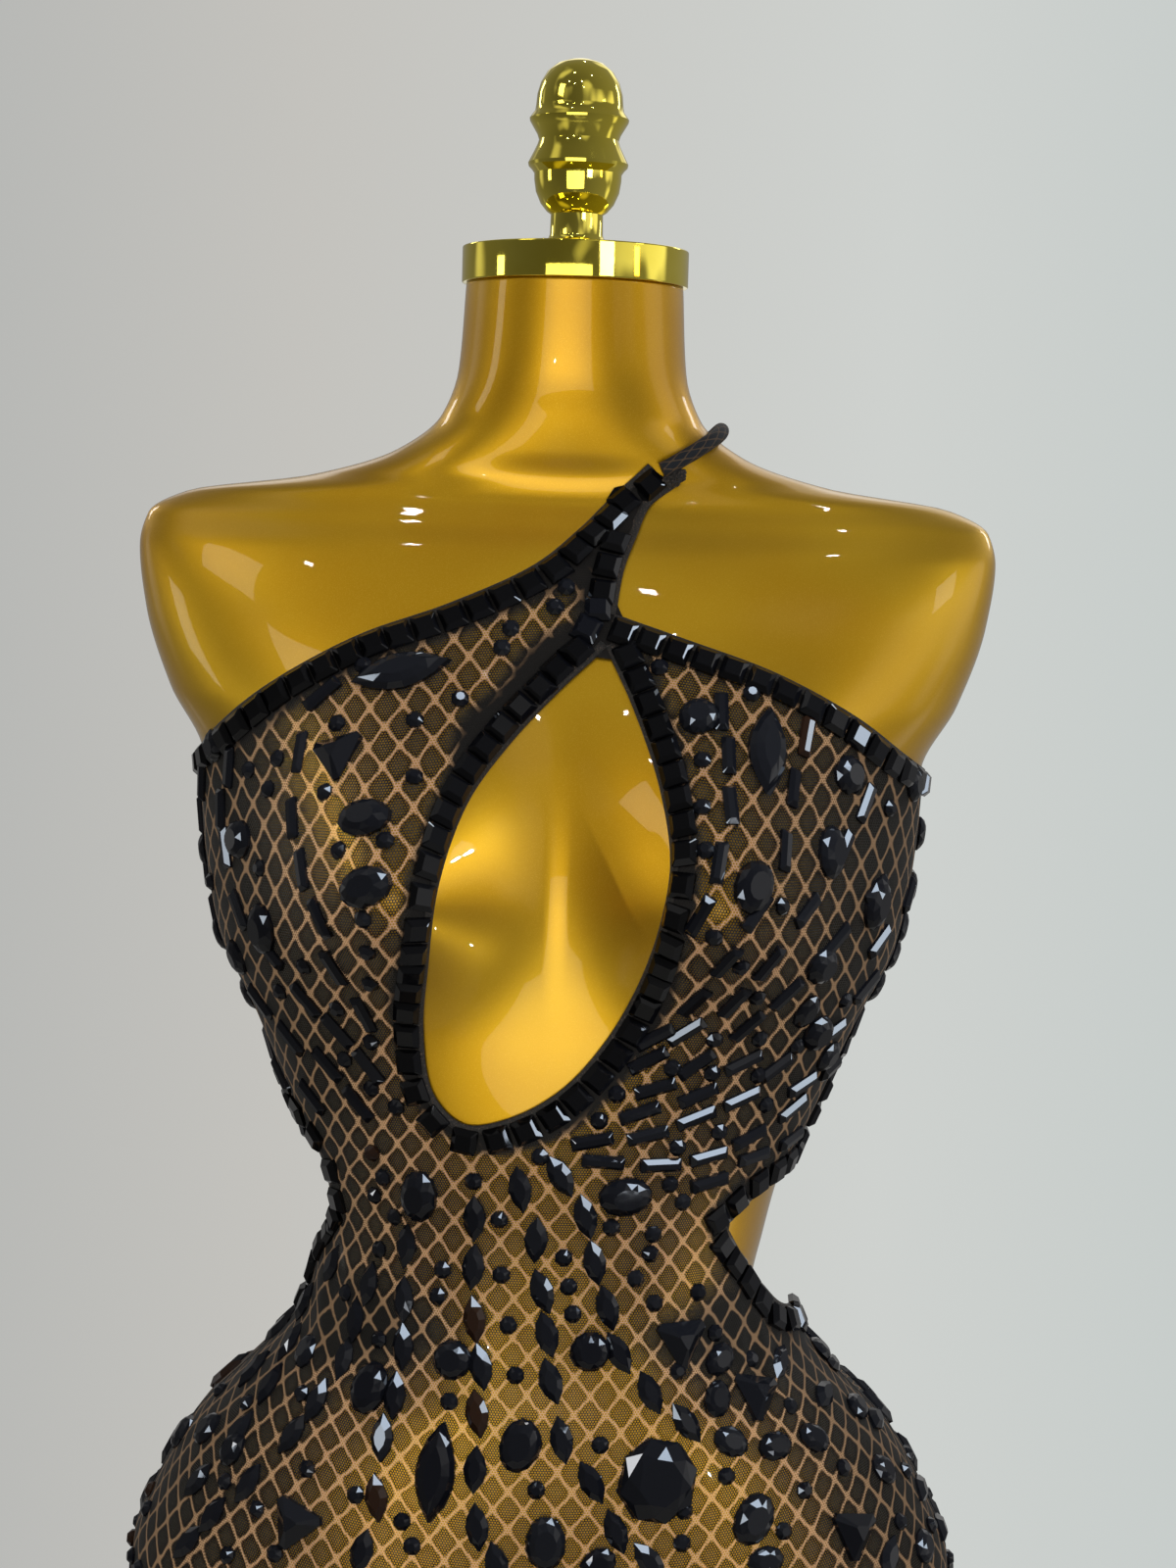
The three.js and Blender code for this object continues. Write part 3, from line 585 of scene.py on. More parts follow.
def rounded(corners, radius=0.6, steps=4):
    """A profile with each inner corner turned into a short arc: a quadratic curve between two points that lie
    radius before and after it, or less on a short side."""
    corners = np.array(corners, float)
    before, corner, after = corners[:-2], corners[1:-1], corners[2:]
    reach_in = np.minimum(radius, np.linalg.norm(corner - before, axis=1) * SHORT_SIDE)[:, None]
    reach_out = np.minimum(radius, np.linalg.norm(after - corner, axis=1) * SHORT_SIDE)[:, None]
    start = corner + unit(before - corner) * reach_in
    end = corner + unit(after - corner) * reach_out
    t = np.linspace(0, 1, steps + 1)[None, :, None]
    arcs = start[:, None] * (1 - t) ** 2 + 2 * corner[:, None] * t * (1 - t) + end[:, None] * t**2
    return np.vstack([corners[:1], arcs.reshape(-1, 2), corners[-1:]])


# ---------------------------------------------------------------------------------------------------------
# Materials
# ---------------------------------------------------------------------------------------------------------


class Finish(Nodes):
    """A material under construction: one Principled shader and the nodes that feed it."""

    def __init__(self, name, colour, roughness, metallic=0.0, **sockets):
        self.material = bpy.data.materials.new(name)
        self.material.use_nodes = True
        super().__init__(self.material.node_tree)
        self.shader = self.tree.nodes["Principled BSDF"]
        self.feed(
            (self.shader.inputs["Base Color"], colour),
            (self.shader.inputs["Roughness"], roughness),
            (self.shader.inputs["Metallic"], metallic),
            *((self.shader.inputs[socket.replace("_", " ")], value) for socket, value in sockets.items()),
        )

    def give(self, socket, source):
        """Joins an output to one of the shader's sockets."""
        self.join(source, self.shader.inputs[socket])

    def bump(self, height, distance, strength):
        """Fine relief, distance metres deep."""
        node = self.node("Bump", Strength=strength, Distance=distance)
        self.join(height, node.inputs["Height"])
        self.give("Normal", node.outputs["Normal"])


def gilt_paint():
    """Pearl gold paint with fine flecks under a hard clear gloss, faintly rippled as sprayed paint is."""
    finish = Finish(
        "gilt_paint", (0.62, 0.34, 0.015), 0.45, 1.0, Coat_Weight=1.0, Coat_Roughness=0.02, Coat_IOR=1.28
    )
    flecks = finish.noise(2600, 1)
    tone = finish.ramp(finish.noise(9, 3), (0.3, (0.60, 0.315, 0.008)), (0.7, (0.69, 0.415, 0.020)))
    share = finish.math("MULTIPLY", finish.smoothstep(flecks, 0.5, 0.72), 0.22)
    finish.give("Base Color", finish.blend(share, tone, (0.95, 0.64, 0.09)))
    finish.give("Roughness", finish.math("MULTIPLY_ADD", flecks, 0.14, 0.38))
    finish.bump(finish.noise(420), 0.00006, 0.4)
    return finish.material


def polished_brass():
    """Lacquered yellow brass, with a faint cloudiness and fine ripples in its polish."""
    finish = Finish("polished_brass", (0.80, 0.66, 0.09), 0.05, 1.0)
    cloudy = finish.noise(30, 3)
    finish.give("Base Color", finish.ramp(cloudy, (0.3, (0.76, 0.62, 0.07)), (0.7, (0.86, 0.73, 0.12))))
    finish.give("Roughness", finish.math("MULTIPLY_ADD", cloudy, 0.07, 0.02))
    finish.bump(finish.noise(700), 0.00001, 0.4)
    return finish.material


DIAMOND = (13.2, 16.0)  # width and height of one printed diamond, corner to corner
LINE, LINE_BLUR = 0.060, 0.036  # half width of a printed line and of its soft rim, as shares of a diamond
HEART = (0.02, 0.34)  # where a diamond's olive heart starts, from a line's rim, and is full, from its middle
WAVER_SCALE, WAVER = 0.11, (2.6, 2.6, 0)  # how close together and how wide the print wavers
NET_PITCH = 1.15  # from hole to hole of the net
HOLE = (0.105, 0.175)  # squared distance from a hole's middle to its rim, in pitches
TAN = (0.84, 0.52, 0.29)
NET_BLACK = (0.006, 0.005, 0.004)
NET_OLIVE = (0.047, 0.042, 0.030)
FOLDED_BLACK = (0.008, 0.007, 0.007)
SHADED_TAN, WORN_TAN = 0.34, 0.6  # brightness of the lines where painted shade darkens them, at the sides and where the net leaves the form, and of the worn specks
WORN_SHARE = 0.18


def net_finish(name, tan, black, olive, see_through=True):
    """Knitted net with hexagonal holes, printed with rounded dark diamonds between tan lines. Along the UV
    map, in millimetres, the lines are where (u / width + v / height) or (u / width - v / height) is near a
    whole number, wavered a little by noise, and the holes are discs on two woven rows of points. Two values
    of the cloth's points change it. Where the first, from 0 to 1, is high, in the middle of the front and the
    back where the net is stretched tight over the form, the holes are open and the print is lighter; where it
    is low, at the sides and where the net leaves the form, the holes shut and the print is painted darker, as
    shade. Where the net is folded at an edge it is black."""
    finish = Finish(name, black, 0.62, Sheen_Weight=0.04, Sheen_Roughness=0.5, Specular_IOR_Level=0.2)
    uv = finish.node("UVMap", uv_map="cloth")
    wobble = finish.node("TexNoise", Scale=WAVER_SCALE, Detail=2.0)
    finish.join(uv.outputs[0], wobble.inputs["Vector"])
    centred = finish.node("VectorMath", operation="SUBTRACT")
    centred.inputs[1].default_value = (0.5, 0.5, 0.5)
    finish.join(wobble.outputs["Color"], centred.inputs[0])
    waver = finish.node("VectorMath", operation="MULTIPLY_ADD")
    waver.inputs[1].default_value = WAVER
    finish.join(centred.outputs[0], waver.inputs[0])
    finish.join(uv.outputs[0], waver.inputs[2])
    place = finish.node("SeparateXYZ")
    finish.join(waver.outputs[0], place.inputs[0])
    across = finish.math("DIVIDE", place.outputs[0], DIAMOND[0])
    upward = finish.math("DIVIDE", place.outputs[1], DIAMOND[1])

    def from_line(value):
        """0 on a printed line and 0.5 half way to the next."""
        return finish.math("PINGPONG", value, 0.5)

    one = from_line(finish.math("ADD", across, upward))
    two = from_line(finish.math("SUBTRACT", across, upward))
    nearest = finish.math("SMOOTH_MIN", one, two, 0.3)
    inside = finish.smoothstep(nearest, LINE - LINE_BLUR, LINE + LINE_BLUR)
    heart = finish.smoothstep(nearest, LINE + HEART[0], HEART[1])

    points = finish.node("SeparateXYZ")
    finish.join(uv.outputs[0], points.inputs[0])
    row = 3**0.5  # from one row of holes to the next like it, in pitches

    def from_hole(shift):
        """Squared distance to the nearest point of one of the two woven rows, in pitches."""
        u = finish.math("ADD", finish.math("DIVIDE", points.outputs[0], NET_PITCH), shift)
        v = finish.math("ADD", finish.math("DIVIDE", points.outputs[1], NET_PITCH * row), shift)
        u = finish.math("PINGPONG", u, 0.5)
        v = finish.math("MULTIPLY", finish.math("PINGPONG", v, 0.5), row)
        return finish.math("ADD", finish.math("MULTIPLY", u, u), finish.math("MULTIPLY", v, v))

    hole = finish.math("MINIMUM", from_hole(0.0), from_hole(0.5))
    thread = finish.smoothstep(hole, *HOLE)
    drawn = finish.node("Attribute", attribute_name="drawn").outputs["Fac"]
    folded = finish.node("Attribute", attribute_name="folded").outputs["Fac"]
    speckle = finish.smoothstep(finish.noise(1.1, source="UV"), 0.45, 0.75)
    cell = finish.blend(heart, black, olive)
    worn = finish.blend(speckle, cell, tuple(WORN_TAN * t for t in tan))
    # Painted shade: where the tight and lit value is low, at the sides and where the net leaves the form, the
    # diamonds are black and the lines are darkened.
    cell = finish.blend(drawn, black, finish.blend(WORN_SHARE, cell, worn))
    lines = finish.blend(drawn, tuple(SHADED_TAN * t for t in tan), tan)
    printed = finish.blend(inside, lines, cell)
    finish.give("Base Color", finish.blend(folded, printed, FOLDED_BLACK))
    if see_through:
        flat = finish.math("SUBTRACT", 1.0, folded)
        shut = finish.math("SUBTRACT", 1.0, finish.math("MULTIPLY", drawn, flat))
        finish.give("Alpha", finish.math("MAXIMUM", thread, shut))
    finish.bump(thread, 0.0002, 0.6)
    return finish.material


def binding_net():
    """Folded net at the cloth's edges: nearly black, flecked with brown thread."""
    finish = Finish("edge_binding", (0.012, 0.010, 0.009), 0.6, Sheen_Weight=0.1)
    flecks = finish.ramp(finish.noise(1500, 3), (0.55, FOLDED_BLACK), (0.75, (0.12, 0.08, 0.06)))
    finish.give("Base Color", flecks)
    finish.bump(finish.noise(1300, 3), 0.0006, 0.9)
    return finish.material


def jet_glass():
    """Jet-black cut glass. A stone's own tint, from 0 to 1, turns a few of them smoky brown."""
    jet = (0.003, 0.003, 0.004)
    finish = Finish("jet_glass", jet, 0.03, IOR=1.5, Specular_IOR_Level=0.26)
    tint = finish.node("Attribute", attribute_name="tint").outputs["Fac"]
    tones = (0.0, jet), (0.82, (0.006, 0.006, 0.007)), (1.0, (0.014, 0.006, 0.003))
    finish.give("Base Color", finish.ramp(tint, *tones))
    finish.bump(finish.noise(160, 1), 0.00004, 0.25)
    return finish.material


def pale_floor():
    """Matt light grey, faintly cloudy."""
    finish = Finish("pale_floor", (0.62, 0.62, 0.61), 0.7)
    tones = (0.3, (0.60, 0.60, 0.59)), (0.7, (0.65, 0.65, 0.64))
    finish.give("Base Color", finish.ramp(finish.noise(3), *tones))
    return finish.material


GILT = gilt_paint()
BRASS = polished_brass()
NET = net_finish("printed_net", TAN, NET_BLACK, NET_OLIVE)
# The cord carries no tight and lit value, so all of its print takes the net's painted shade: black diamonds
# and darkened lines.
CORD_COLOURS = (0.30, 0.20, 0.13), (0.014, 0.018, 0.026), (0.020, 0.026, 0.040)
CORD_NET = net_finish("cord_net", *CORD_COLOURS, see_through=False)
BINDING = binding_net()
JET = jet_glass()

# ---------------------------------------------------------------------------------------------------------
# The form, its cap and finial, and the stand
# ---------------------------------------------------------------------------------------------------------

FORM_COLUMNS = 280
RIM_RADIUS, RIM_SHRINK = 12, 0.08  # of the form's lower rim
SHOULDERS = (1370, 1440)


def make_form():
    """The form's surface at even turns and at heights 3 mm apart, closer together at the shoulders and at the
    rounded lower rim, where the section shrinks by RIM_SHRINK along a quarter circle."""
    rim = FORM_FOOT + RIM_RADIUS * (1 - np.cos(np.linspace(0, np.pi / 2, 7)))
    body, shoulders = np.arange(805, SHOULDERS[0], 3.2), np.arange(*SHOULDERS, 1.6)
    heights = np.concatenate([rim, body, shoulders, np.arange(SHOULDERS[1], NECK_TOP, 4), [NECK_TOP]])
    below = (1 - (heights - FORM_FOOT) / RIM_RADIUS).clip(0, 1)
    share = 1 - RIM_SHRINK * (1 - np.sqrt(np.clip(1 - below**2, 0, 1)))
    turns = np.arange(FORM_COLUMNS) * 360 / FORM_COLUMNS
    points = FORM.point(turns[None, :], heights[:, None])
    points[..., :2] *= share[:, None, None]
    flat = np.vstack([points.reshape(-1, 3), [(0, 0, FORM_FOOT)], [(0, 0, NECK_TOP)]])
    form = make_mesh("gilt_form", flat, closed_faces(len(heights), FORM_COLUMNS), GILT)
    settle(form, "gilt_paint", "form_torso")
    return form


# Profiles of the brass pieces, from the axis below to the axis above, as (radius, z).
CAP_PROFILE = rounded([(0, 1489.3), (49.5, 1489.3), (49.5, 1505), (0, 1505)], 0.7)
FINIAL_PROFILE = [
    (0, 1505.3), (14.2, 1505.3), (14.5, 1506.4), (14.2, 1507.8), (12.4, 1509.4), (11.6, 1511.2),
    (11.4, 1520.0), (13.2, 1521.2), (16.0, 1524.6), (18.2, 1529.6), (19.0, 1534.6), (19.1, 1537.6),
    (20.2, 1539.2), (21.6, 1540.6), (21.9, 1542.0), (21.2, 1543.4), (19.4, 1547.0), (18.0, 1550.0),
    (17.4, 1552.0), (18.2, 1554.4), (20.2, 1557.8), (21.5, 1560.0), (21.7, 1561.2), (20.6, 1562.8),
    (19.4, 1564.4), (19.0, 1567.0), (18.6, 1571.6), (17.2, 1576.6), (14.4, 1581.4), (10.4, 1584.8),
    (5.4, 1586.6), (0, 1587.0),
]


POLE_RADIUS, POLE_TOP = 12.5, FORM_FOOT - 0.3
POLE_PROFILE = rounded([(0, 24), (POLE_RADIUS, 24), (POLE_RADIUS, POLE_TOP), (0, POLE_TOP)], 0.8)
FOOT_PROFILE = rounded([(0, 0), (165, 0), (165, 6), (161, 8), (28, 13), (20, 23.7), (0, 23.7)], 2.0)


def make_stand():
    """The cap and the finial on the neck, and the pole and the foot below, all turned round the one axis."""
    for node, profile in (
        ("neck_cap", CAP_PROFILE),
        ("finial", FINIAL_PROFILE),
        ("stand_pole", POLE_PROFILE),
        ("stand_foot", FOOT_PROFILE),
    ):
        piece = make_mesh("brass_" + node, *lathe(profile), BRASS)
        sharpen(piece)
        settle(piece, "polished_brass", node)


def sharpen(piece, degrees=32):
    """Keeps edges steeper than this crisp while the faces beside them shade smoothly."""
    bpy.context.view_layer.objects.active = piece
    piece.select_set(True)
    bpy.ops.object.shade_smooth_by_angle(angle=np.radians(degrees))
    piece.select_set(False)


# ---------------------------------------------------------------------------------------------------------
# The cut of the gown: outlines seen from the front, as points in X and Z
# ---------------------------------------------------------------------------------------------------------

SIDE_NECK, SIDE_BODICE, SIDE_SKIRT = 1281, 1146, 1031

EDGES = {
    "neckline_right": [(-160, SIDE_NECK), (-147, 1295), (-125, 1313), (-87, 1335), (-48, 1350), (-13, 1367),
                       (5, 1382), (21, 1399), (34, 1412)],
    "strap_inner": [(46, 1403), (35, 1394), (29, 1380), (24, 1366), (21, 1347)],
    "neckline_left": [(21, 1347), (49, 1338), (90, 1324), (125, 1306), (146, 1291), (160, SIDE_NECK)],
    "bodice_left": [(140, SIDE_BODICE), (122, 1118), (104, 1106), (88, 1099), (75, 1088)],
    "waist_left": [(75, 1088), (82, 1074), (90, 1060), (99, 1047), (120, SIDE_SKIRT)],
    "bodice_right": [(-140, SIDE_BODICE), (-116, 1128), (-104, 1117), (-97, 1105), (-93, 1090)],
    "waist_right": [(-93, 1090), (-96, 1074), (-101, 1060), (-108, 1047), (-120, SIDE_SKIRT)],
    "keyhole": [(18, 1334), (30, 1310), (42, 1278), (47, 1250), (44, 1226), (35, 1196), (22, 1171), (4, 1150),
                (-18, 1137), (-36, 1134), (-49, 1146), (-54, 1174), (-52, 1205), (-48, 1240), (-38, 1270),
                (-22, 1293), (-2, 1315), (18, 1334)],
}
BACK_EDGES = {
    "band_top": [(-160, SIDE_NECK), (-80, 1273), (0, 1270), (80, 1273), (160, SIDE_NECK)],
    "band_bottom": [(140, SIDE_BODICE), (100, 1164), (50, 1182), (0, 1188), (-50, 1182), (-100, 1164),
                    (-140, SIDE_BODICE)],
    "skirt_top": [(-120, SIDE_SKIRT), (-60, 1008), (0, 1000), (60, 1008), (120, SIDE_SKIRT)],
}


def curve_through(points, spacing):
    """Evenly spaced points on the centripetal spline through some points: each span is a cubic whose end
    slopes weigh the chords on both sides by the square roots of their lengths."""
    p = np.array(points, float)
    p = np.vstack([2 * p[0] - p[1], p, 2 * p[-1] - p[-2]])
    root = np.linalg.norm(np.diff(p, axis=0), axis=1)[:, None] ** 0.5
    p0, p1, p2, p3 = p[:-3], p[1:-2], p[2:-1], p[3:]
    d0, d1, d2 = root[:-2], root[1:-1], root[2:]
    out = ((p1 - p0) / d0 - (p2 - p0) / (d0 + d1) + (p2 - p1) / d1) * d1
    into = ((p2 - p1) / d1 - (p3 - p1) / (d1 + d2) + (p3 - p2) / d2) * d1
    t = np.linspace(0, 1, 61)[:-1, None, None]
    spans = p1 + out * t + (3 * (p2 - p1) - 2 * out - into) * t**2 + (2 * (p1 - p2) + out + into) * t**3
    line = np.vstack([spans.transpose(1, 0, 2).reshape(-1, p.shape[1]), p[-2:-1]])
    return evenly(line, spacing)


def lengths_along(line):
    """How far each point of a line is from its start, measured along it."""
    return np.concatenate([[0], np.cumsum(np.linalg.norm(np.diff(line, axis=0), axis=1))])


def evenly(line, spacing):
    """The same line with points a spacing apart, measured along it."""
    length = lengths_along(line)
    count = max(2, int(round(length[-1] / spacing)) + 1)
    at = np.linspace(0, length[-1], count)
    return np.stack([np.interp(at, length, line[:, k]) for k in range(line.shape[1])], -1)


def edge_places(name, spacing=1.0):
    """An edge as rows of (turn, z)."""
    is_back = name in BACK_EDGES
    x, z = curve_through((BACK_EDGES if is_back else EDGES)[name], spacing).T
    turn = GOWN.turn_at(x, z, is_back)
    return np.stack([turn, z], -1)


# ---------------------------------------------------------------------------------------------------------
# Creases: soft ridges and troughs pulled in the cloth, as lines in X and Z in front (-1) or behind (1)
# ---------------------------------------------------------------------------------------------------------

# side, from x and z, to x and z, height (a trough is negative), half width
CREASES = np.array(
    [
        (-1, 84, 1062, 128, 1012, 1.6, 3.4), (-1, 86, 1060, 117, 1004, -1.0, 3.0),
        (-1, 83, 1066, 108, 986, 1.5, 3.6), (-1, 82, 1066, 96, 990, -0.9, 3.0),
        (-1, 80, 1068, 88, 1002, 1.1, 3.0), (-1, 92, 1056, 142, 1020, 1.3, 3.2),
        (-1, -94, 1078, -72, 1034, 1.2, 3.2), (-1, -95, 1074, -84, 1018, -0.8, 3.0),
        (-1, -97, 1068, -96, 1006, 1.3, 3.4), (-1, -93, 1096, -70, 1122, 1.0, 3.2),
        (-1, -94, 1100, -84, 1136, -0.7, 3.0), (-1, 76, 1092, 58, 1126, 0.9, 3.2),
        (-1, 30, 1392, 14, 1352, 0.7, 2.4), (1, 104, 1020, 70, 972, 1.5, 3.6),
        (1, 96, 1016, 52, 986, -0.9, 3.2), (1, -104, 1020, -74, 964, 1.4, 3.6),
        (1, -92, 1014, -44, 990, -0.8, 3.2), (1, 124, 1168, 84, 1210, 1.0, 3.4),
        (1, -124, 1168, -88, 1204, 1.1, 3.4), (-1, -60, 700, -84, 520, 3.0, 9.0),
        (-1, 58, 660, 92, 470, 3.4, 10.0), (-1, 4, 600, -6, 380, 2.6, 9.0),
        (1, -70, 690, -96, 500, 3.0, 10.0), (1, 62, 720, 80, 500, 3.2, 9.0), (1, 6, 620, 12, 420, 2.4, 9.0),
    ]
)


DEEPEST = -0.3  # so that no trough touches the form
START_SHARE = 0.12  # of a crease's height where it starts, against its middle


def crease_at(turn, z):
    """The sum over the creases of height * exp(-(distance to its line / half width)^2), which a parabola
    along the line fades to nothing at its end and to little at its start."""
    point = GOWN.point(turn, z)
    shape = point.shape[:-1]
    x, y, height = point.reshape(-1, 3).T
    total = np.zeros(len(x))
    for side, x0, z0, x1, z1, lift, wide in CREASES:
        run, rise = x1 - x0, z1 - z0
        share = np.clip(((x - x0) * run + (height - z0) * rise) / (run * run + rise * rise), 0, 1)
        away = np.hypot(x - x0 - share * run, height - z0 - share * rise)
        along = 4 * (START_SHARE + (1 - START_SHARE) * share) * (1 - share)
        faded = along * np.exp(-((away / wide) ** 2))
        total += np.where(y * side > 0, lift * faded, 0)
    return total.reshape(shape)


def cloth_point(turn, z, out=FACE):
    """A point of the cloth, out from the form's side of it, with its creases."""
    lift = np.maximum(crease_at(turn, z), DEEPEST)
    return GOWN.outside(turn, z, out + lift)


# ---------------------------------------------------------------------------------------------------------
# Panels of net
# ---------------------------------------------------------------------------------------------------------

MAP_TURNS = np.linspace(0, 360, 361)
MAP_HEIGHTS = np.concatenate([np.arange(HEM, 900, 12), np.arange(900, 1433, 4)]).astype(float)
MIDDLE_FRONT, WAIST = 270, 1076


def fade(value, low, high):
    """0 up to low and 1 from high, with a smooth rise between."""
    t = np.clip((value - low) / (high - low), 0, 1)
    return t * t * (3 - 2 * t)


DRAWN_UP, DRAWN_UP_FROM = 0.1, (1110, 1180)  # how much the net is stretched upright over the bodice
CUPS_IN_CLOTH = 0.35  # how much of the cups is cut into the net and not stretched


def measure_cloth():
    """Millimetres of cloth round the gown from the middle of the front, and up it from the waist, on a grid
    of turns and heights, with little of the cups, over which the net is stretched."""
    points = GOWN.point(MAP_TURNS[None, :], MAP_HEIGHTS[:, None], cups=CUPS_IN_CLOTH)
    round_ = np.linalg.norm(np.diff(points, axis=1), axis=-1)
    across = np.concatenate([np.zeros((len(MAP_HEIGHTS), 1)), np.cumsum(round_, 1)], 1)
    across -= across[:, MIDDLE_FRONT : MIDDLE_FRONT + 1]
    up = np.linalg.norm(np.diff(points, axis=0), axis=-1)
    upward = np.concatenate([np.zeros((1, len(MAP_TURNS))), np.cumsum(up, 0)], 0)
    upward -= upward[np.searchsorted(MAP_HEIGHTS, WAIST)]
    drawn_up = np.cumsum(DRAWN_UP * fade(MAP_HEIGHTS, *DRAWN_UP_FROM) * np.gradient(MAP_HEIGHTS))
    return across, upward - drawn_up[:, None]


ACROSS, UPWARD = measure_cloth()


def cloth_uv(turn, z):
    """The cloth's own millimetres at a place, between the four nearest points of the measured grid."""
    c = np.clip(np.asarray(turn, float), 0, 359.999)
    i, s = c.astype(int), c - c.astype(int)
    j = np.clip(np.searchsorted(MAP_HEIGHTS, z) - 1, 0, len(MAP_HEIGHTS) - 2)
    t = np.clip((z - MAP_HEIGHTS[j]) / (MAP_HEIGHTS[j + 1] - MAP_HEIGHTS[j]), 0, 1)

    def at(table):
        low = table[j, i] * (1 - s) + table[j, i + 1] * s
        return low * (1 - t) + (table[j + 1, i] * (1 - s) + table[j + 1, i + 1] * s) * t

    return np.stack([at(ACROSS), at(UPWARD)], -1)


def flat_place(turn, z):
    """Turn and height as nearly even millimetres, to measure short distances between places."""
    return np.stack([(turn - 180) * GOWN.half(z) * np.pi / 180, z], -1)


def inside_outline(places, outline):
    """Whether each place is inside a closed outline: the number of its sides crossed to the right is odd."""
    x, y = places[:, 0:1], places[:, 1:2]
    x0, y0 = outline.T
    x1, y1 = np.roll(outline, -1, 0).T
    crossing = (y0 > y) != (y1 > y)
    rise = np.where(y1 == y0, 1, y1 - y0)
    odd = np.zeros(len(places), bool)
    for k in range(0, len(outline), 200):
        part = slice(k, k + 200)
        hit = crossing[:, part] & (x < x0[part] + (y - y0[part]) * (x1[part] - x0[part]) / rise[part])
        odd ^= hit.sum(1) % 2 == 1
    return odd


def nearest_on(line, places):
    """The nearest point of a line of close points to each place."""
    found = np.empty(len(places), int)
    for k in range(0, len(places), 500):
        gap = places[k : k + 500, None, :] - line[None, :, :]
        found[k : k + 500] = (gap * gap).sum(-1).argmin(1)
    return found


def make_panel(name, turns, heights, outline, holes=()):
    """Net on a grid of turns and heights, cut to outlines given as rows of (turn, z), and its area in square
    metres. Every cell with a corner inside is kept, and its outer corners move to the nearest point of the
    outline."""
    turn, z = (a.ravel().copy() for a in np.meshgrid(turns, heights))
    faces = grid_faces(len(heights), len(turns))
    places = np.stack([turn, z], -1)
    inside = inside_outline(places, outline)
    for hole in holes:
        inside &= ~inside_outline(places, hole)
    faces = faces[inside[faces].any(1)]
    moved = np.unique(faces[~inside[faces]])
    edges = np.vstack([closely(outline), *(closely(hole) for hole in holes)])
    found = edges[nearest_on(flat_place(*edges.T), flat_place(turn[moved], z[moved]))]
    turn[moved], z[moved] = found.T
    used, faces = np.unique(faces, return_inverse=True)
    faces = faces.reshape(-1, 4)
    turn, z = turn[used], z[used]
    turn = np.clip(turn, turns[0], turns[-1])
    z = np.maximum(z, heights[0])
    points = cloth_point(turn, z)
    values = {"drawn": tight_and_lit_share(turn, z), "folded": folded_edge(turn, z)}
    piece = make_mesh(name, points, [faces], NET, uv=cloth_uv(turn, z), **values)
    thicken = piece.modifiers.new("thickness", "SOLIDIFY")
    thicken.thickness = CLOTH * MM
    thicken.offset = -1
    corner = points[faces]
    crossed = np.cross(corner[:, 2] - corner[:, 0], corner[:, 3] - corner[:, 1])
    return piece, np.linalg.norm(crossed, axis=1).sum() / 2 * MM * MM


# Where the net is stretched tight and lit, and past which its print takes painted shade: the gap to the form
# and the height over which it goes slack, and the turn from the middle over which it goes into the painted
# shade of the sides, which is less by BODICE_LESS above BODICE_FROM.
TIGHT_LIT_GAP, TIGHT_LIT_HEIGHTS, TIGHT_LIT_TURNS = (4, 9), (FORM_FOOT + 5, FORM_FOOT + 90), (34, 78)
BODICE_LESS, BODICE_FROM = 12, (1080, 1160)


def tight_and_lit_share(turn, z):
    """How far the net is stretched tight over the form and lit: 1 in the middle of the front and the back,
    and 0 at the sides and where it hangs free, where its holes shut and its print takes painted shade."""
    gap = np.linalg.norm((GOWN.point(turn, z) - FORM.point(turn, z))[..., :2], axis=-1)
    from_middle = 90 - np.abs((turn + 90) % 180 - 90)
    in_middle = 1 - fade(from_middle + BODICE_LESS * fade(z, *BODICE_FROM), *TIGHT_LIT_TURNS)
    return (1 - fade(gap, *TIGHT_LIT_GAP)) * fade(z, *TIGHT_LIT_HEIGHTS) * in_middle


FOLD, FOLD_BLUR = 11.0, 1.5  # width of the turned edge, and half that of its soft rim


def folded_edge(turn, z):
    """1 within FOLD of a bound edge, and 0 beyond it."""
    edges = np.vstack([edge_places(name) for name in BOUND_EDGES])
    edges = flat_place(*edges.T)
    places = flat_place(turn, z)
    found = edges[nearest_on(edges, places)]
    return 1 - fade(np.linalg.norm(found - places, axis=-1), FOLD - FOLD_BLUR, FOLD + FOLD_BLUR)


def closely(outline, spacing=0.5):
    """A closed outline as close points."""
    ring = np.vstack([outline, outline[:1]])
    return evenly(ring, spacing)


def bend_at(turn, z):
    """A corner of an outline, as one row of it."""
    return np.array([(turn, z)], float)


LEFT_SIDE, RIGHT_SIDE = 360, 180  # turns of the front's two sides; the left one is also 0
BELOW_HEM = HEM - 5
PAST = 1  # degrees by which an outline passes a side seam, so that the cloth reaches its grid's last column


def front_outline():
    """Round the front: up the wearer's left side, along the edges to the wearer's right side, and down it."""
    left, right = LEFT_SIDE + PAST, RIGHT_SIDE - PAST
    return np.vstack(
        [
            bend_at(right, BELOW_HEM),
            bend_at(left, BELOW_HEM),
            bend_at(left, SIDE_SKIRT),
            edge_places("waist_left")[::-1],
            edge_places("bodice_left")[::-1],
            bend_at(left, SIDE_BODICE),
            bend_at(left, SIDE_NECK),
            edge_places("neckline_left")[::-1],
            edge_places("strap_inner")[::-1],
            edge_places("neckline_right")[::-1],
            bend_at(right, SIDE_NECK),
            bend_at(right, SIDE_BODICE),
            edge_places("bodice_right"),
            edge_places("waist_right"),
            bend_at(right, SIDE_SKIRT),
        ]
    )


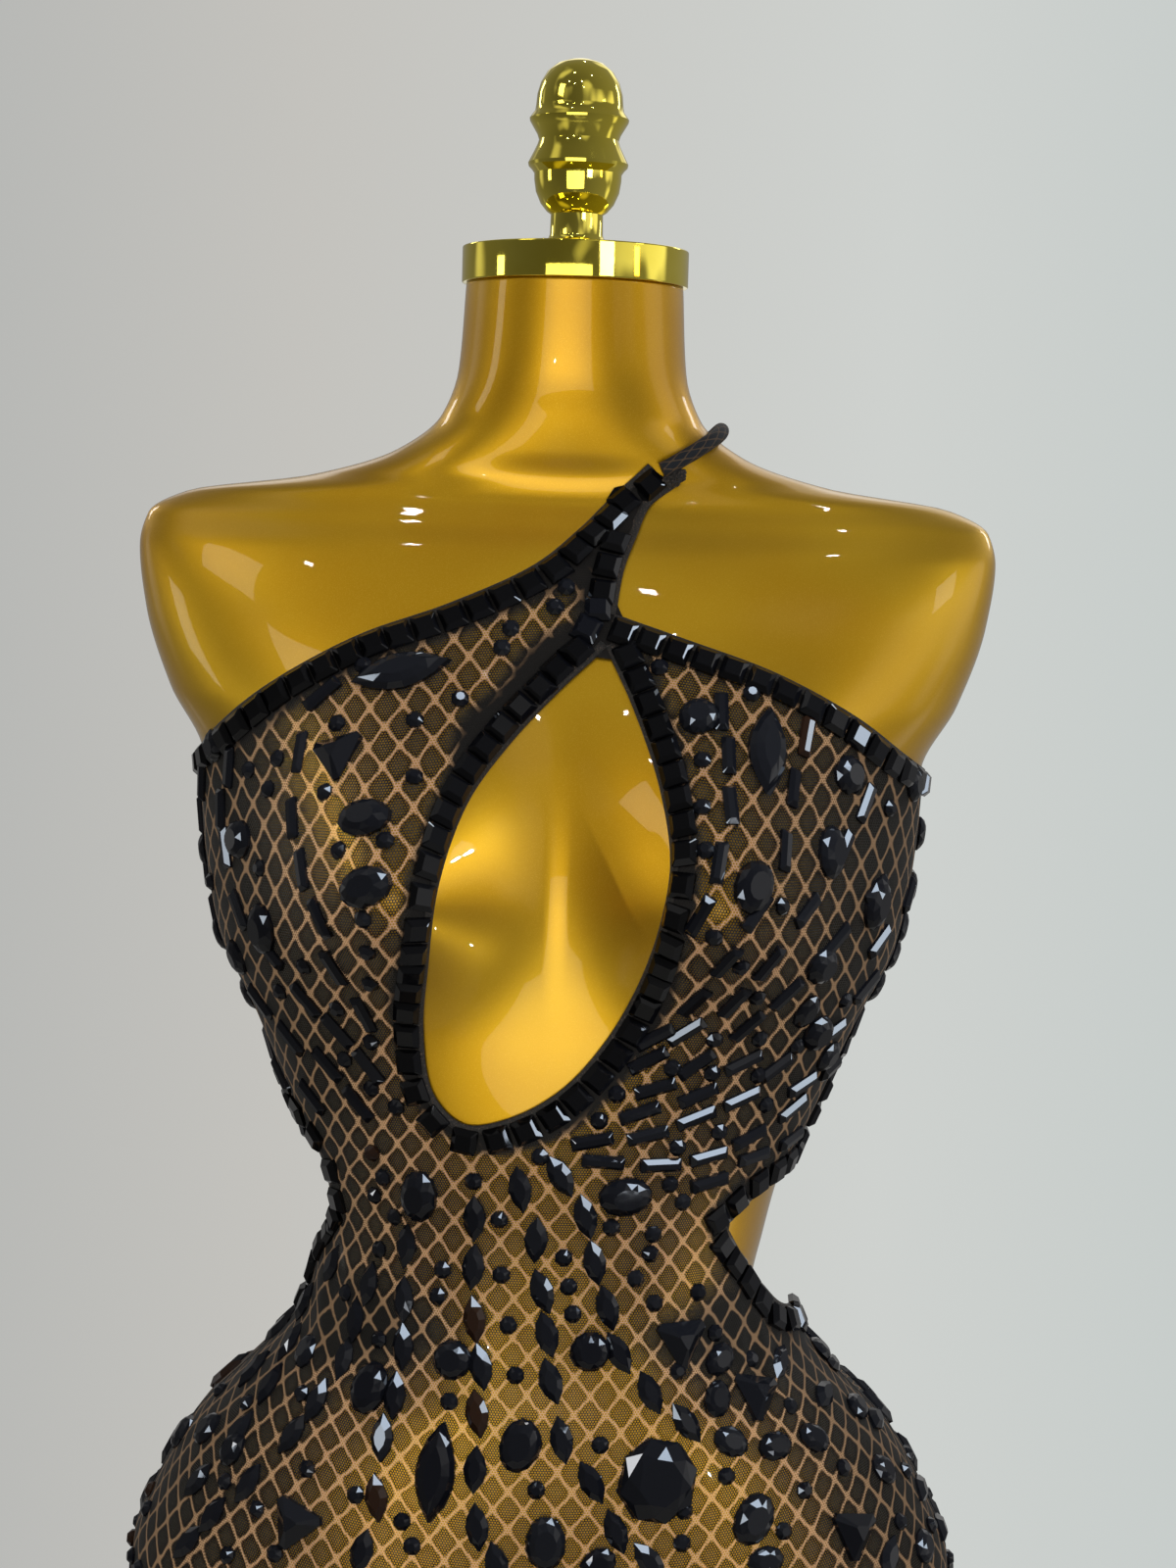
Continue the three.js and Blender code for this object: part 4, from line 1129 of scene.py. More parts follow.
def band_outline():
    """Round the band behind: along its top, down the wearer's left side, back along its foot, and up."""
    return np.vstack(
        [
            edge_places("band_top"),
            bend_at(-PAST, SIDE_NECK),
            bend_at(-PAST, SIDE_BODICE),
            edge_places("band_bottom"),
            bend_at(RIGHT_SIDE + PAST, SIDE_BODICE),
            bend_at(RIGHT_SIDE + PAST, SIDE_NECK),
        ]
    )


def skirt_outline():
    """Round the skirt behind: up the wearer's right side, along its top, and down the left side."""
    return np.vstack(
        [
            bend_at(RIGHT_SIDE + PAST, BELOW_HEM),
            bend_at(RIGHT_SIDE + PAST, SIDE_SKIRT),
            edge_places("skirt_top"),
            bend_at(-PAST, SIDE_SKIRT),
            bend_at(-PAST, BELOW_HEM),
        ]
    )


ROW = 3.2  # from one row of the net's grid to the next, above the free skirt
SKIRT_ROWS = np.linspace(HEM, 900, 112)
FRONT_ROWS = np.concatenate([SKIRT_ROWS, np.arange(900 + ROW, 1422, ROW)])
BAND_ROWS = np.arange(1140, 1290, ROW)
SKIRT_BACK_ROWS = np.concatenate([SKIRT_ROWS, np.arange(900 + ROW, 1040, ROW)])
FRONT_TURNS = np.linspace(180 + SEAM_TURN, 360 - SEAM_TURN, 151)
BACK_TURNS = np.linspace(SEAM_TURN, 180 - SEAM_TURN, 111)


def make_gown():
    """The three panels of net, each with its area."""
    keyhole = edge_places("keyhole")[1:]
    panels = (
        make_panel("gown_front_net", FRONT_TURNS, FRONT_ROWS, front_outline(), [keyhole]),
        make_panel("gown_back_band_net", BACK_TURNS, BAND_ROWS, band_outline()),
        make_panel("gown_skirt_back_net", BACK_TURNS, SKIRT_BACK_ROWS, skirt_outline()),
    )
    for (piece, _), node in zip(panels, ("gown_front", "gown_back_band", "gown_skirt_back")):
        settle(piece, "printed_net", node)
    return panels


# ---------------------------------------------------------------------------------------------------------
# Bound edges, seams and the cord
# ---------------------------------------------------------------------------------------------------------


def make_tube(name, centres, across, upward, half_wide, half_high, material, sides=10, uv_scale=None):
    """A closed tube along a line: at each point of it an oval, half_wide along one direction and half_high
    along another, and a single point at each end. The UV map, where there is one, runs with the line's length
    and both ways round from the seam, where the two halves meet."""
    angle = np.arange(sides) * 2 * np.pi / sides
    rings = (
        centres[:, None]
        + across[:, None] * (half_wide * np.cos(angle))[None, :, None]
        + upward[:, None] * (half_high * np.sin(angle))[None, :, None]
    )
    points = np.vstack([rings.reshape(-1, 3), centres[:1], centres[-1:]])
    faces = closed_faces(len(centres), sides)
    if (np.cross(across, upward) * np.gradient(centres, axis=0)).sum(-1).mean() < 0:
        faces = [block[:, ::-1] for block in faces]
    uv = None
    if uv_scale:
        length = lengths_along(centres)
        u, v = np.meshgrid((half_wide + half_high) * np.abs(angle - np.pi), length)
        uv = np.vstack([np.stack([u, v], -1).reshape(-1, 2), [[0, 0], [0, length[-1]]]]) * uv_scale
    return make_mesh(name, points, faces, material, uv=uv)


def along_edge(places, side, inset, out):
    """The line that runs inset from an edge on the cloth's side of it, with its directions into the cloth and
    out of it."""
    turn, z = places.T
    line = cloth_point(turn, z, out)
    along = unit(np.gradient(line, axis=0))
    normal = GOWN.normal(turn, z)
    inward = unit(np.cross(normal, along)) * side
    return line + inward * inset, inward, normal


BOUND_EDGES = {
    "neckline_right": -1,
    "strap_inner": -1,
    "neckline_left": -1,
    "bodice_left": -1,
    "waist_left": -1,
    "bodice_right": 1,
    "waist_right": 1,
    "keyhole": 1,
    "band_top": 1,
    "band_bottom": 1,
    "skirt_top": 1,
}
BINDING_OVAL, BINDING_INSET = (2.1, 0.95), 1.5
HEM_OVAL, HEM_RISE, HEM_INSET = (1.6, 0.9), 1.2, 0.6
SEAM_OVAL, SEAM_SUNK, SEAM_FOOT = (1.1, 0.7), 0.2, 1157
AT_SEAM = 0.01  # degrees of turn


def make_bindings():
    """Ovals of folded net along every cut edge and round the hem."""
    for name, side in BOUND_EDGES.items():
        places = edge_places(name, 2.0)
        if name != "keyhole":
            places = places[(places[:, 0] % 180 > AT_SEAM) & (places[:, 0] < 360 - AT_SEAM)]
        lie = along_edge(places, side, BINDING_INSET, FACE - CLOTH / 2)
        settle(make_tube("binding_" + name, *lie, *BINDING_OVAL, BINDING), "printed_net")
    turn = np.linspace(SEAM_TURN, 360 - SEAM_TURN, 721)
    places = np.stack([turn, np.full_like(turn, HEM + HEM_RISE)], -1)
    lie = along_edge(places, 1, HEM_INSET, FACE - CLOTH / 2)
    settle(make_tube("hem_binding", *lie, *HEM_OVAL, BINDING), "printed_net")


def make_side_seams():
    """A narrow corded seam on each side, up the skirt and up the bodice."""
    for turn, side in ((0.0, "left"), (180.0, "right")):
        for part, low, high in (("skirt", HEM + 1, SIDE_SKIRT - 1), ("bodice", SEAM_FOOT, SIDE_NECK - 1)):
            z = np.arange(low, high, 4.0)
            turns = np.full_like(z, turn)
            line = GOWN.outside(turns, z, FACE - SEAM_SUNK)
            lie = line, unit(GOWN.slopes(turns, z)[0]), GOWN.normal(turns, z)
            settle(make_tube(f"side_seam_{part}_{side}", *lie, *SEAM_OVAL, BINDING, 8), "printed_net")


CORD_RADIUS, CORD_CLEAR = 3.4, 1.0
CORD_PRINT = 1.7  # how much smaller the print is on the rolled net
# From the strap's tip over the shoulder, past the turn of 360, as (turn, z).
CORD_PATH = [
    (295, 1410.3), (311, 1416), (330, 1421), (360, 1425), (386, 1422), (414, 1412), (435, 1398), (441, 1365),
    (443, 1320), (442, 1271.4),
]


def make_cord():
    """A roll of net from the strap's tip over the shoulder to the band behind, lying on the form."""
    turn, z = curve_through(CORD_PATH, 1.0).T
    centres = evenly(FORM.outside(turn, z, CORD_RADIUS + CORD_CLEAR), 2.0)
    along = unit(np.gradient(centres, axis=0))
    outward = unit(centres * [1, 1, 0] + [0, 0, 1e-6])
    across = unit(np.cross(along, outward))
    lie = centres, across, np.cross(across, along)
    cord = make_tube("strap_cord_net", *lie, CORD_RADIUS, CORD_RADIUS, CORD_NET, 20, CORD_PRINT)
    settle(cord, "cord_net", "strap_cord")


KNOT, KNOT_LEAN = (687, 487), 60.0  # place and lean in the frame of 1200 x 1600
KNOT_RADII, KNOT_LUMPS, KNOT_OUT = (5.0, 3.4, 2.2), 0.25, 0.8  # the last is a share of its height


def make_thread_knot():
    """Knotted thread where the cord is sewn to the strap's tip: an ellipsoid whose radius swells and sinks by
    a share, KNOT_LUMPS, with the product of two sines, lying on the cloth."""
    turn, z = place_in_view(*np.array(KNOT, float)[:, None])
    round_, up = np.meshgrid(np.linspace(0, 2 * np.pi, 49)[:-1], np.linspace(-np.pi / 2, np.pi / 2, 26)[1:-1])
    lumps = 1 + KNOT_LUMPS * np.sin(5 * round_ + 3 * up) * np.sin(7 * up - 2 * round_)
    ball = np.stack([np.cos(up) * np.cos(round_), np.cos(up) * np.sin(round_), np.sin(up)], -1)
    ball *= lumps[..., None]
    long, out = lean_in_view(turn, z, np.array([KNOT_LEAN]))[0], GOWN.normal(turn, z)[0]
    axes = np.stack([long, np.cross(out, long), out])
    points = np.vstack([ball.reshape(-1, 3), [(0, 0, -1)], [(0, 0, 1)]]) * KNOT_RADII @ axes
    points += GOWN.outside(turn, z, FACE + KNOT_OUT * KNOT_RADII[2])
    settle(make_mesh("thread_knot", points, closed_faces(*round_.shape), BINDING), "printed_net")


# ---------------------------------------------------------------------------------------------------------
# Cut stones
# ---------------------------------------------------------------------------------------------------------


def round_outline(wide, long, sides):
    """A polygon in an oval, with a flat side to the right."""
    angle = (np.arange(sides) + 0.5) * 2 * np.pi / sides
    return np.stack([wide / 2 * np.cos(angle), long / 2 * np.sin(angle)], -1)


def pointed_outline(wide, long, sides):
    """Two arcs that meet in points: across = half width * (1 - t^2) while t runs along the length."""
    t = np.linspace(-1, 1, sides // 2 + 1)[:-1]
    right = np.stack([wide / 2 * (1 - t**2), long / 2 * t], -1)
    return np.vstack([right, -right])


def cut_corner_outline(corners, cut):
    """A polygon with each corner cut off, cut millimetres to each side of it."""
    corner = np.array(corners, float)
    before = unit(np.roll(corner, 1, 0) - corner) * cut
    after = unit(np.roll(corner, -1, 0) - corner) * cut
    return np.stack([corner + before, corner + after], 1).reshape(-1, 2)


def box_outline(wide, long, cut):
    """A rectangle with cut corners."""
    w, l = wide / 2, long / 2
    return cut_corner_outline([(w, -l), (w, l), (-w, l), (-w, -l)], cut)


def triangle_outline(reach, cut):
    """A triangle with even sides and cut corners, which lie at reach from the middle before they are cut."""
    angle = np.radians([-30, 90, 210])
    return cut_corner_outline(np.stack([np.cos(angle), np.sin(angle)], -1) * reach, cut)


# Outline, and rings from the girdle up: scale across, scale along, height, and whether the ring's corners
# stand between those below it.
CUTS = {
    "square": (box_outline(10.9, 10.9, 0.5), ((1, 1, 1.5, 0), (0.62, 0.62, 3.6, 0))),
    "bar": (box_outline(5.8, 18, 0.5), ((1, 1, 1.2, 0), (0.42, 0.80, 3.0, 0))),
    "chaton": (round_outline(7.8, 7.8, 8), ((1, 1, 1.0, 0), (0.50, 0.50, 3.0, 1))),
    "small_navette": (pointed_outline(10, 20.5, 8), ((1, 1, 1.0, 0), (0.52, 0.56, 3.2, 0))),
    "bean": (round_outline(12.5, 16.5, 10), ((1, 1, 1.2, 0), (0.78, 0.78, 2.9, 1), (0.52, 0.52, 3.8, 0))),
    "oval": (round_outline(17, 23, 12), ((1, 1, 1.5, 0), (0.82, 0.82, 3.7, 1), (0.54, 0.54, 5.4, 0))),
    "round": (round_outline(17, 17, 12), ((1, 1, 1.5, 0), (0.82, 0.82, 3.7, 1), (0.54, 0.54, 5.4, 0))),
    "navette": (pointed_outline(17, 42, 12), ((1, 1, 1.5, 0), (0.80, 0.84, 4.0, 0), (0.42, 0.56, 6.0, 0))),
    "triangle": (triangle_outline(15, 3.2), ((1, 1, 1.8, 0), (0.30, 0.30, 6.8, 0))),
    "octagon": (box_outline(31, 34, 9.5), ((1, 1, 2.0, 0), (0.84, 0.84, 5.2, 1), (0.56, 0.56, 7.8, 0))),
}
BETWEEN = 1.04  # how far out the corners stand that lie between those below, to keep the stone's width
FOOT_OUT = FACE - 0.5  # the stones' feet stand in the net, this far out from the form


def cut_shape(kind):
    """The corners of one stone, rings one above the other as (across, along, height), and its faces: walls
    between level rings, and pairs of triangles between rings whose corners alternate."""
    outline, rings = CUTS[kind]
    n = len(outline)
    between = (outline + np.roll(outline, -1, 0)) / 2
    layers = [np.column_stack([outline, np.zeros(n)])]
    for across, along, height, is_between in rings:
        base = between * BETWEEN if is_between else outline
        layers.append(np.column_stack([base * (across, along), np.full(n, height)]))
    i = np.arange(n)
    j = (i + 1) % n
    faces = [i[::-1].tolist()]
    shifted = [0] + [ring[3] for ring in rings]
    for k in range(len(rings)):
        low, high = k * n, (k + 1) * n
        if shifted[k] == shifted[k + 1]:
            block = [(low + i, low + j, high + j, high + i)]
        elif shifted[k + 1]:
            block = [(low + i, low + j, high + i), (low + j, high + j, high + i)]
        else:
            block = [(low + i, high + j, high + i), (low + i, low + j, high + j)]
        faces += [face for part in block for face in np.stack(part, -1).tolist()]
    faces.append((len(rings) * n + i).tolist())
    return np.vstack(layers), faces, n


def make_stones(name, kind, turn, z, direction, tint):
    """Copies of one cut at places on the cloth: each keeps its flat top and girdle, and its foot follows the
    cloth."""
    shape, faces, n = cut_shape(kind)
    normal = GOWN.normal(turn, z)
    across = unit(np.cross(direction, normal))
    along = np.cross(normal, across)
    seat = cloth_point(turn, z)
    points = (
        seat[:, None]
        + across[:, None] * shape[None, :, 0:1]
        + along[:, None] * shape[None, :, 1:2]
        + normal[:, None] * shape[None, :, 2:3]
    )
    move = points[:, :n] - seat[:, None]
    foot_turn, foot_z = GOWN.step(np.repeat(turn[:, None], n, 1), np.repeat(z[:, None], n, 1), move)
    points[:, :n] = cloth_point(foot_turn, foot_z, FOOT_OUT)
    copies = [[corner + k * len(shape) for corner in face] for k in range(len(seat)) for face in faces]
    piece = make_mesh(name, points, [copies], JET, smooth=False, tint=np.repeat(tint, len(shape)))
    settle(piece, "printed_net")


def lean_on_cloth(turn, z, lean):
    """The direction in the cloth that leans clockwise from upright by an angle, seen from outside."""
    round_, _ = GOWN.slopes(turn, z)
    level_way = unit(round_)
    upright = np.cross(GOWN.normal(turn, z), level_way)
    tilt = np.radians(lean)[:, None]
    return upright * np.cos(tilt) + level_way * np.sin(tilt)


STEEPEST = -0.4  # cosine past which a direction is slid no further on cloth that turns away


def lean_in_view(turn, z, lean):
    """The direction in the cloth that the camera sees leaning clockwise by an angle: that direction in the
    picture, slid along the line of sight into the cloth."""
    normal = GOWN.normal(turn, z)
    tilt = np.radians(lean)[:, None]
    seen = UP * np.cos(tilt) + RIGHT * np.sin(tilt)
    facing = np.minimum((normal * FORWARD).sum(-1, keepdims=True), STEEPEST)
    slid = seen - FORWARD * (seen * normal).sum(-1, keepdims=True) / facing
    return unit(slid - normal * (slid * normal).sum(-1, keepdims=True))


FIRST_DEPTH, HALF_WAY, VIEW_STEPS = -95.0, 0.45, 60
IN_FRONT = (180.5, 359.5)  # turns


def place_in_view(px, py, surface=GOWN, out=FACE):
    """The place on the front of the gown or the form at a point of the frame of 1200 x 1600. A point runs
    along the line of sight, about half way at a time, to the depth that the surface has at its X and Z."""
    px, py = np.asarray(px, float), np.asarray(py, float)
    sight = FORWARD * FOCAL_PX + RIGHT * (px - IMAGE[0] / 2)[:, None] - UP * (py - IMAGE[1] / 2)[:, None]
    y = np.full(len(px), FIRST_DEPTH)
    for _ in range(VIEW_STEPS):
        point = CAMERA_AT + sight * ((y - CAMERA_AT[1]) / sight[:, 1])[:, None]
        turn = np.clip(surface.turn_at(point[:, 0], point[:, 2]), *IN_FRONT)
        y = (1 - HALF_WAY) * y + HALF_WAY * surface.outside(turn, point[:, 2], out)[:, 1]
    return turn, point[:, 2]


# The large stones: kind, x, z, lean in degrees.
LARGE_IN_FRONT = [
    ("navette", -68, 1321, 72), ("triangle", -91, 1287, 40), ("oval", -78, 1263, 80),
    ("oval", -76, 1237, 70), ("round", -134, 1248, 0), ("oval", -122, 1212, 10), ("round", 57, 1306, 0),
    ("navette", 85, 1293, 16), ("round", 120, 1283, 0), ("oval", 112, 1252, 20), ("oval", 79, 1241, 30),
    ("oval", 134, 1228, 20), ("round", 110, 1205, 0), ("round", 111, 1173, 0), ("oval", 32, 1105, 85),
    ("oval", -54, 1101, 5), ("round", -38, 1033, 0), ("round", 19, 1039, 0), ("triangle", 57, 1042, 60),
    ("oval", -73, 1017, 10), ("oval", -9, 1000, 15), ("navette", -44, 987, 5), ("octagon", 49, 986, 10),
    ("triangle", 90, 1016, 75), ("triangle", -103, 960, 80), ("oval", 90, 968, 30), ("oval", 3, 960, 0),
    ("triangle", 134, 957, 70), ("oval", -70, 925, -20), ("octagon", -24, 888, 0), ("oval", 66, 895, 10),
    ("navette", 22, 835, -8),
]
LARGE_BEHIND = [
    ("navette", -88, 965, 12), ("octagon", 34, 950, 10), ("oval", 96, 955, 25), ("triangle", -24, 920, 20),
    ("oval", -96, 880, -10), ("oval", 60, 872, 10),
]

# Small stones in front: the point in the frame of 1200 x 1600, and the lean in degrees clockwise from
# upright, which the round ones do without.
SMALL_IN_FRONT = {
    "square": [(610, 623, 2), (599, 644, 28)],
    "chaton": [
        (578, 601), (566, 621), (521, 643), (512, 663), (469, 715), (423, 737), (422, 795), (345, 740),
        (371, 681), (334, 810), (286, 775), (257, 786), (277, 806), (348, 869), (393, 860), (269, 886),
        (372, 937), (376, 969), (379, 1001), (313, 984), (289, 1010), (346, 1027), (220, 899), (354, 1080),
        (381, 1110), (380, 1062), (406, 1129), (673, 683), (766, 710), (717, 778), (717, 826), (904, 825),
        (795, 925), (729, 955), (755, 984), (771, 1015), (859, 1019), (728, 1059), (773, 1058),
        (810, 1066), (685, 1089), (725, 1094), (771, 1096), (629, 1116), (611, 1143), (779, 1126),
        (732, 1154), (721, 870), (690, 1170), (682, 1208), (695, 1226), (623, 1252), (665, 1259),
        (662, 1279), (647, 1305), (710, 1319), (666, 1330), (727, 1361), (690, 1400), (612, 1475),
        (740, 1507), (697, 1542), (695, 1575), (798, 1563), (803, 1437), (764, 1388), (819, 1522),
        (858, 1499), (915, 1554), (551, 1180), (484, 1205), (510, 1244), (393, 1201), (385, 1219),
        (405, 1241), (390, 1275), (453, 1296), (512, 1301), (575, 1283), (580, 1313), (448, 1323),
        (519, 1353), (584, 1341), (389, 1368), (526, 1404), (459, 1431), (383, 1175), (547, 1521),
        (315, 1500), (364, 1526), (264, 1541), (411, 1553), (421, 1578), (282, 1586), (310, 1424),
        (255, 1434), (232, 1513), (357, 1320), (234, 1588), (345, 1252),
    ],
    "bar": [
        (330, 710, 50), (309, 769, 8), (302, 836, -5), (312, 888, -10), (330, 936, -25), (343, 985, -30),
        (373, 1033, -25), (378, 1087, -38), (238, 783, 5), (230, 826, 0), (235, 865, -8), (248, 928, -22),
        (279, 970, -40), (315, 1018, -40), (347, 1050, -42), (337, 1085, -42), (368, 1125, -40),
        (212, 796, 5), (207, 830, 0), (212, 885, -12), (216, 930, -12), (270, 1020, -38), (300, 1058, -40),
        (322, 1118, -40), (292, 1095, -36), (268, 1062, -34), (308, 1140, -34), (736, 729, 0),
        (743, 774, 0), (745, 825, -5), (734, 883, 10), (821, 754, 12), (807, 806, 8), (880, 820, 22),
        (798, 870, 5), (857, 867, 25), (770, 931, 35), (820, 929, 40), (890, 908, 45), (922, 913, 30),
        (716, 935, 30), (741, 979, 40), (782, 981, 38), (850, 958, 42), (709, 1020, 45), (748, 1020, 42),
        (700, 1051, 58), (761, 1045, 48), (668, 1057, 62), (709, 1085, 55), (661, 1081, 62),
        (757, 1083, 65), (789, 1088, 55), (845, 1051, 58), (843, 1088, 62), (668, 1110, 75),
        (711, 1117, 68), (755, 1120, 68), (805, 1129, 55), (834, 1124, 70), (652, 1135, 72),
        (709, 1140, 70), (877, 1090, 25), (604, 1164, 80), (615, 1185, -85), (660, 1158, 78),
        (673, 1188, 90), (721, 1179, 78), (766, 1179, 78), (762, 1159, 65), (721, 1205, 78),
        (803, 1160, 62), (884, 1040, 40), (815, 1105, 62), (870, 1060, 44), (893, 960, 40),
        (800, 1012, 46), (880, 1005, 42),
    ],
    "small_navette": [
        (531, 1213, -8), (572, 1200, -28), (485, 1243, 0), (597, 1241, -12), (547, 1265, 4),
        (417, 1271, 6), (379, 1311, 12), (484, 1293, 6), (606, 1288, -10), (553, 1318, -18),
        (414, 1327, 2), (485, 1347, -6), (619, 1335, -14), (558, 1362, -14), (413, 1375, 0),
        (366, 1347, 6), (491, 1395, -10), (562, 1410, -16), (630, 1381, -28), (353, 1388, 16),
        (404, 1425, 6), (487, 1443, -8), (573, 1470, -10), (603, 1513, -28), (485, 1500, 4),
        (487, 1559, -6), (628, 1563, -20), (391, 1468, 4), (385, 1529, -6), (370, 1584, 15),
        (325, 1431, 25), (300, 1465, 35), (278, 1415, 30), (255, 1515, 32), (219, 1547, 36),
        (194, 1575, 40), (507, 1597, -14), (662, 1422, -25), (699, 1453, -35), (662, 1593, -40),
        (343, 1290, 22), (316, 1330, 26), (300, 1372, 32), (262, 1400, 38), (246, 1462, 36),
        (205, 1512, 38), (792, 1392, 20), (838, 1425, 34), (890, 1450, 36), (935, 1520, 26),
        (905, 1590, 18), (830, 1352, 44), (866, 1394, 46), (955, 1560, 20),
    ],
    "bean": [
        (246, 975, -20), (316, 1381, 18), (744, 1472, -60), (732, 1388, 42), (789, 1477, 85),
        (828, 1469, -60), (898, 1501, -48), (730, 1429, 10), (780, 1593, 80), (939, 1579, 10),
        (871, 1438, 30), (844, 1381, 36), (820, 1030, 30), (841, 1076, 50), (938, 905, 14), (934, 945, 20),
        (918, 972, 30), (895, 1003, 36), (942, 850, -6), (928, 800, -8), (222, 760, 14), (204, 866, 0),
        (226, 950, -18), (244, 1010, -28), (610, 1596, 60), (240, 1480, 30), (215, 1460, 40),
        (812, 1345, 40), (560, 1568, 0),
    ],
}
SMOKY_SHARE, CLEAR_TINT = 0.03, 0.7  # share of stones that are smoky brown, and the most tint of the others
EDGE_CLEAR = 9  # from a stone's middle to the cloth's edge at least, apart from the rows along the edges
ROW_STEP = 0.86  # from row to row, in spacings, as in a grid of even triangles
DEGREES = 57.3  # in a radian
SEEN_TURNS, SEEN_ABOVE = (196, 344), 922  # the part of the cloth whose stones are all placed one by one
dice = np.random.default_rng(27)


def apart(places, others, nearest):
    """Which of the places lie at least a distance from all the others."""
    here, there = cloth_point(*places.T), cloth_point(*others.T)
    return np.linalg.norm(here[:, None] - there[None], axis=-1).min(1) > nearest


def scattered(turns, heights, spacing, jitter, taken, nearest):
    """Places on rows over a patch of the cloth, a spacing apart along a row, every other row moved half a
    step, each moved a little at random, without those too near to the ones already taken."""
    places = []
    for k, z in enumerate(np.arange(*heights, spacing * ROW_STEP)):
        round_, _ = GOWN.slopes(np.mean(turns), z)
        step = spacing / np.linalg.norm(round_)
        row = np.arange(turns[0] + step * (0.5 if k % 2 else 0), turns[1], step)
        places.append(np.stack([row, np.full_like(row, z)], -1))
    places = np.vstack(places)
    shift = dice.uniform(-jitter, jitter, places.shape)
    shift[:, 0] *= DEGREES / GOWN.half(places[:, 1])
    places = places + shift
    return places[apart(places, taken, nearest)]


def on_panel(places):
    """Which places lie on the cloth, at least EDGE_CLEAR inside its edges."""
    turn, z = places.T
    front = inside_outline(places, front_outline()) & (turn > RIGHT_SIDE) & (turn < LEFT_SIDE)
    front &= ~inside_outline(places, edge_places("keyhole"))
    x = GOWN.point(turn, z)[:, 0]
    names = "band_bottom", "band_top", "skirt_top"
    band_low, band_high, skirt_high = (np.interp(x, *np.array(sorted(BACK_EDGES[name])).T) for name in names)
    on_band = (z > band_low + EDGE_CLEAR) & (z < band_high - EDGE_CLEAR)
    back = (turn < RIGHT_SIDE) & (on_band | (z < skirt_high - EDGE_CLEAR))
    rim = np.vstack([edge_places(name, 3.0) for name in BOUND_EDGES])
    return (front | back) & apart(places, rim, EDGE_CLEAR)


# Along the edges: the squares' pitch, how far in from the edge their middles lie, and the room that half of
# the first and half of the last take up. Then each edge, the side of it that the cloth is on, and the space
# left at its start and end.
SQUARE_PITCH, SQUARE_INSET, SQUARE_ROOM = 11.6, 6.5, 10.4
SQUARE_ROWS = [
    ("neckline_right", -1, 4, 1),
    ("strap_inner", -1, 34, 4),
    ("neckline_left", -1, 1, 4),
    ("bodice_left", -1, 2, -8),
    ("waist_left", -1, 1, 2),
    ("bodice_right", 1, 2, -5),
    ("waist_right", 1, 1, 2),
    ("keyhole", 1, 3, 5),
]


def square_row(name, side, start, stop):
    """Places and directions of square stones along an edge, SQUARE_INSET in from it: as many as fit from
    start to stop at SQUARE_PITCH or a little more, at even steps."""
    places = edge_places(name)
    line = GOWN.outside(*places.T, FACE)
    along = unit(np.gradient(line, axis=0))
    length = lengths_along(line)
    room = length[-1] - start - stop - SQUARE_ROOM
    distance = start + SQUARE_ROOM / 2 + np.linspace(0, 1, int(room // SQUARE_PITCH) + 1) * room
    on_edge = np.clip(distance, 0, length[-1])
    turn, z = (np.interp(on_edge, length, column) for column in places.T)
    way = unit(np.stack([np.interp(on_edge, length, along[:, k]) for k in range(3)], -1))
    inward = unit(np.cross(GOWN.normal(turn, z), way)) * side
    move = inward * SQUARE_INSET + way * (distance - on_edge)[:, None]
    turn, z = GOWN.step(turn, z, move)
    return turn, z, way


def sew_on(name, kind, turn, z, direction):
    """Stones with a random tint each, which is smoky for a few of the small ones."""
    tint = dice.random(len(turn))
    smoky = (tint < SMOKY_SHARE) & (kind != "square") & (not name.startswith("large"))
    make_stones(name, kind, turn, z, direction, np.where(smoky, 1.0, CLEAR_TINT * tint))


# Patches of like stones: kind, turns, heights, spacing, how far each is moved at random, and the distance
# that they keep from the stones already there.
SPREADS = (
    ("bar", (4, 176), (1150, 1280), 25, 2.0, 17),
    ("chaton", (4, 176), (1150, 1280), 22, 3.0, 13),
    ("small_navette", (0, 180), (905, 1022), 33, 4.0, 21),
    ("small_navette", (0, 360), (770, 905), 36, 5.0, 23),
    ("bean", (0, 360), (700, 1000), 62, 9.0, 23),
    ("chaton", (0, 360), (700, 1000), 26, 4.0, 13),
    ("small_navette", (0, 360), (520, 770), 56, 8.0, 24),
    ("chaton", (0, 360), (430, 700), 46, 8.0, 16),
    ("chaton", (0, 360), (40, 430), 82, 14.0, 18),
    ("small_navette", (0, 360), (120, 520), 110, 18.0, 26),
)
BAR_LEAN = 50  # of the bars on the band, towards the middle of the back
SWAY, BAR_SWAY = 16, 8  # degrees either way at random


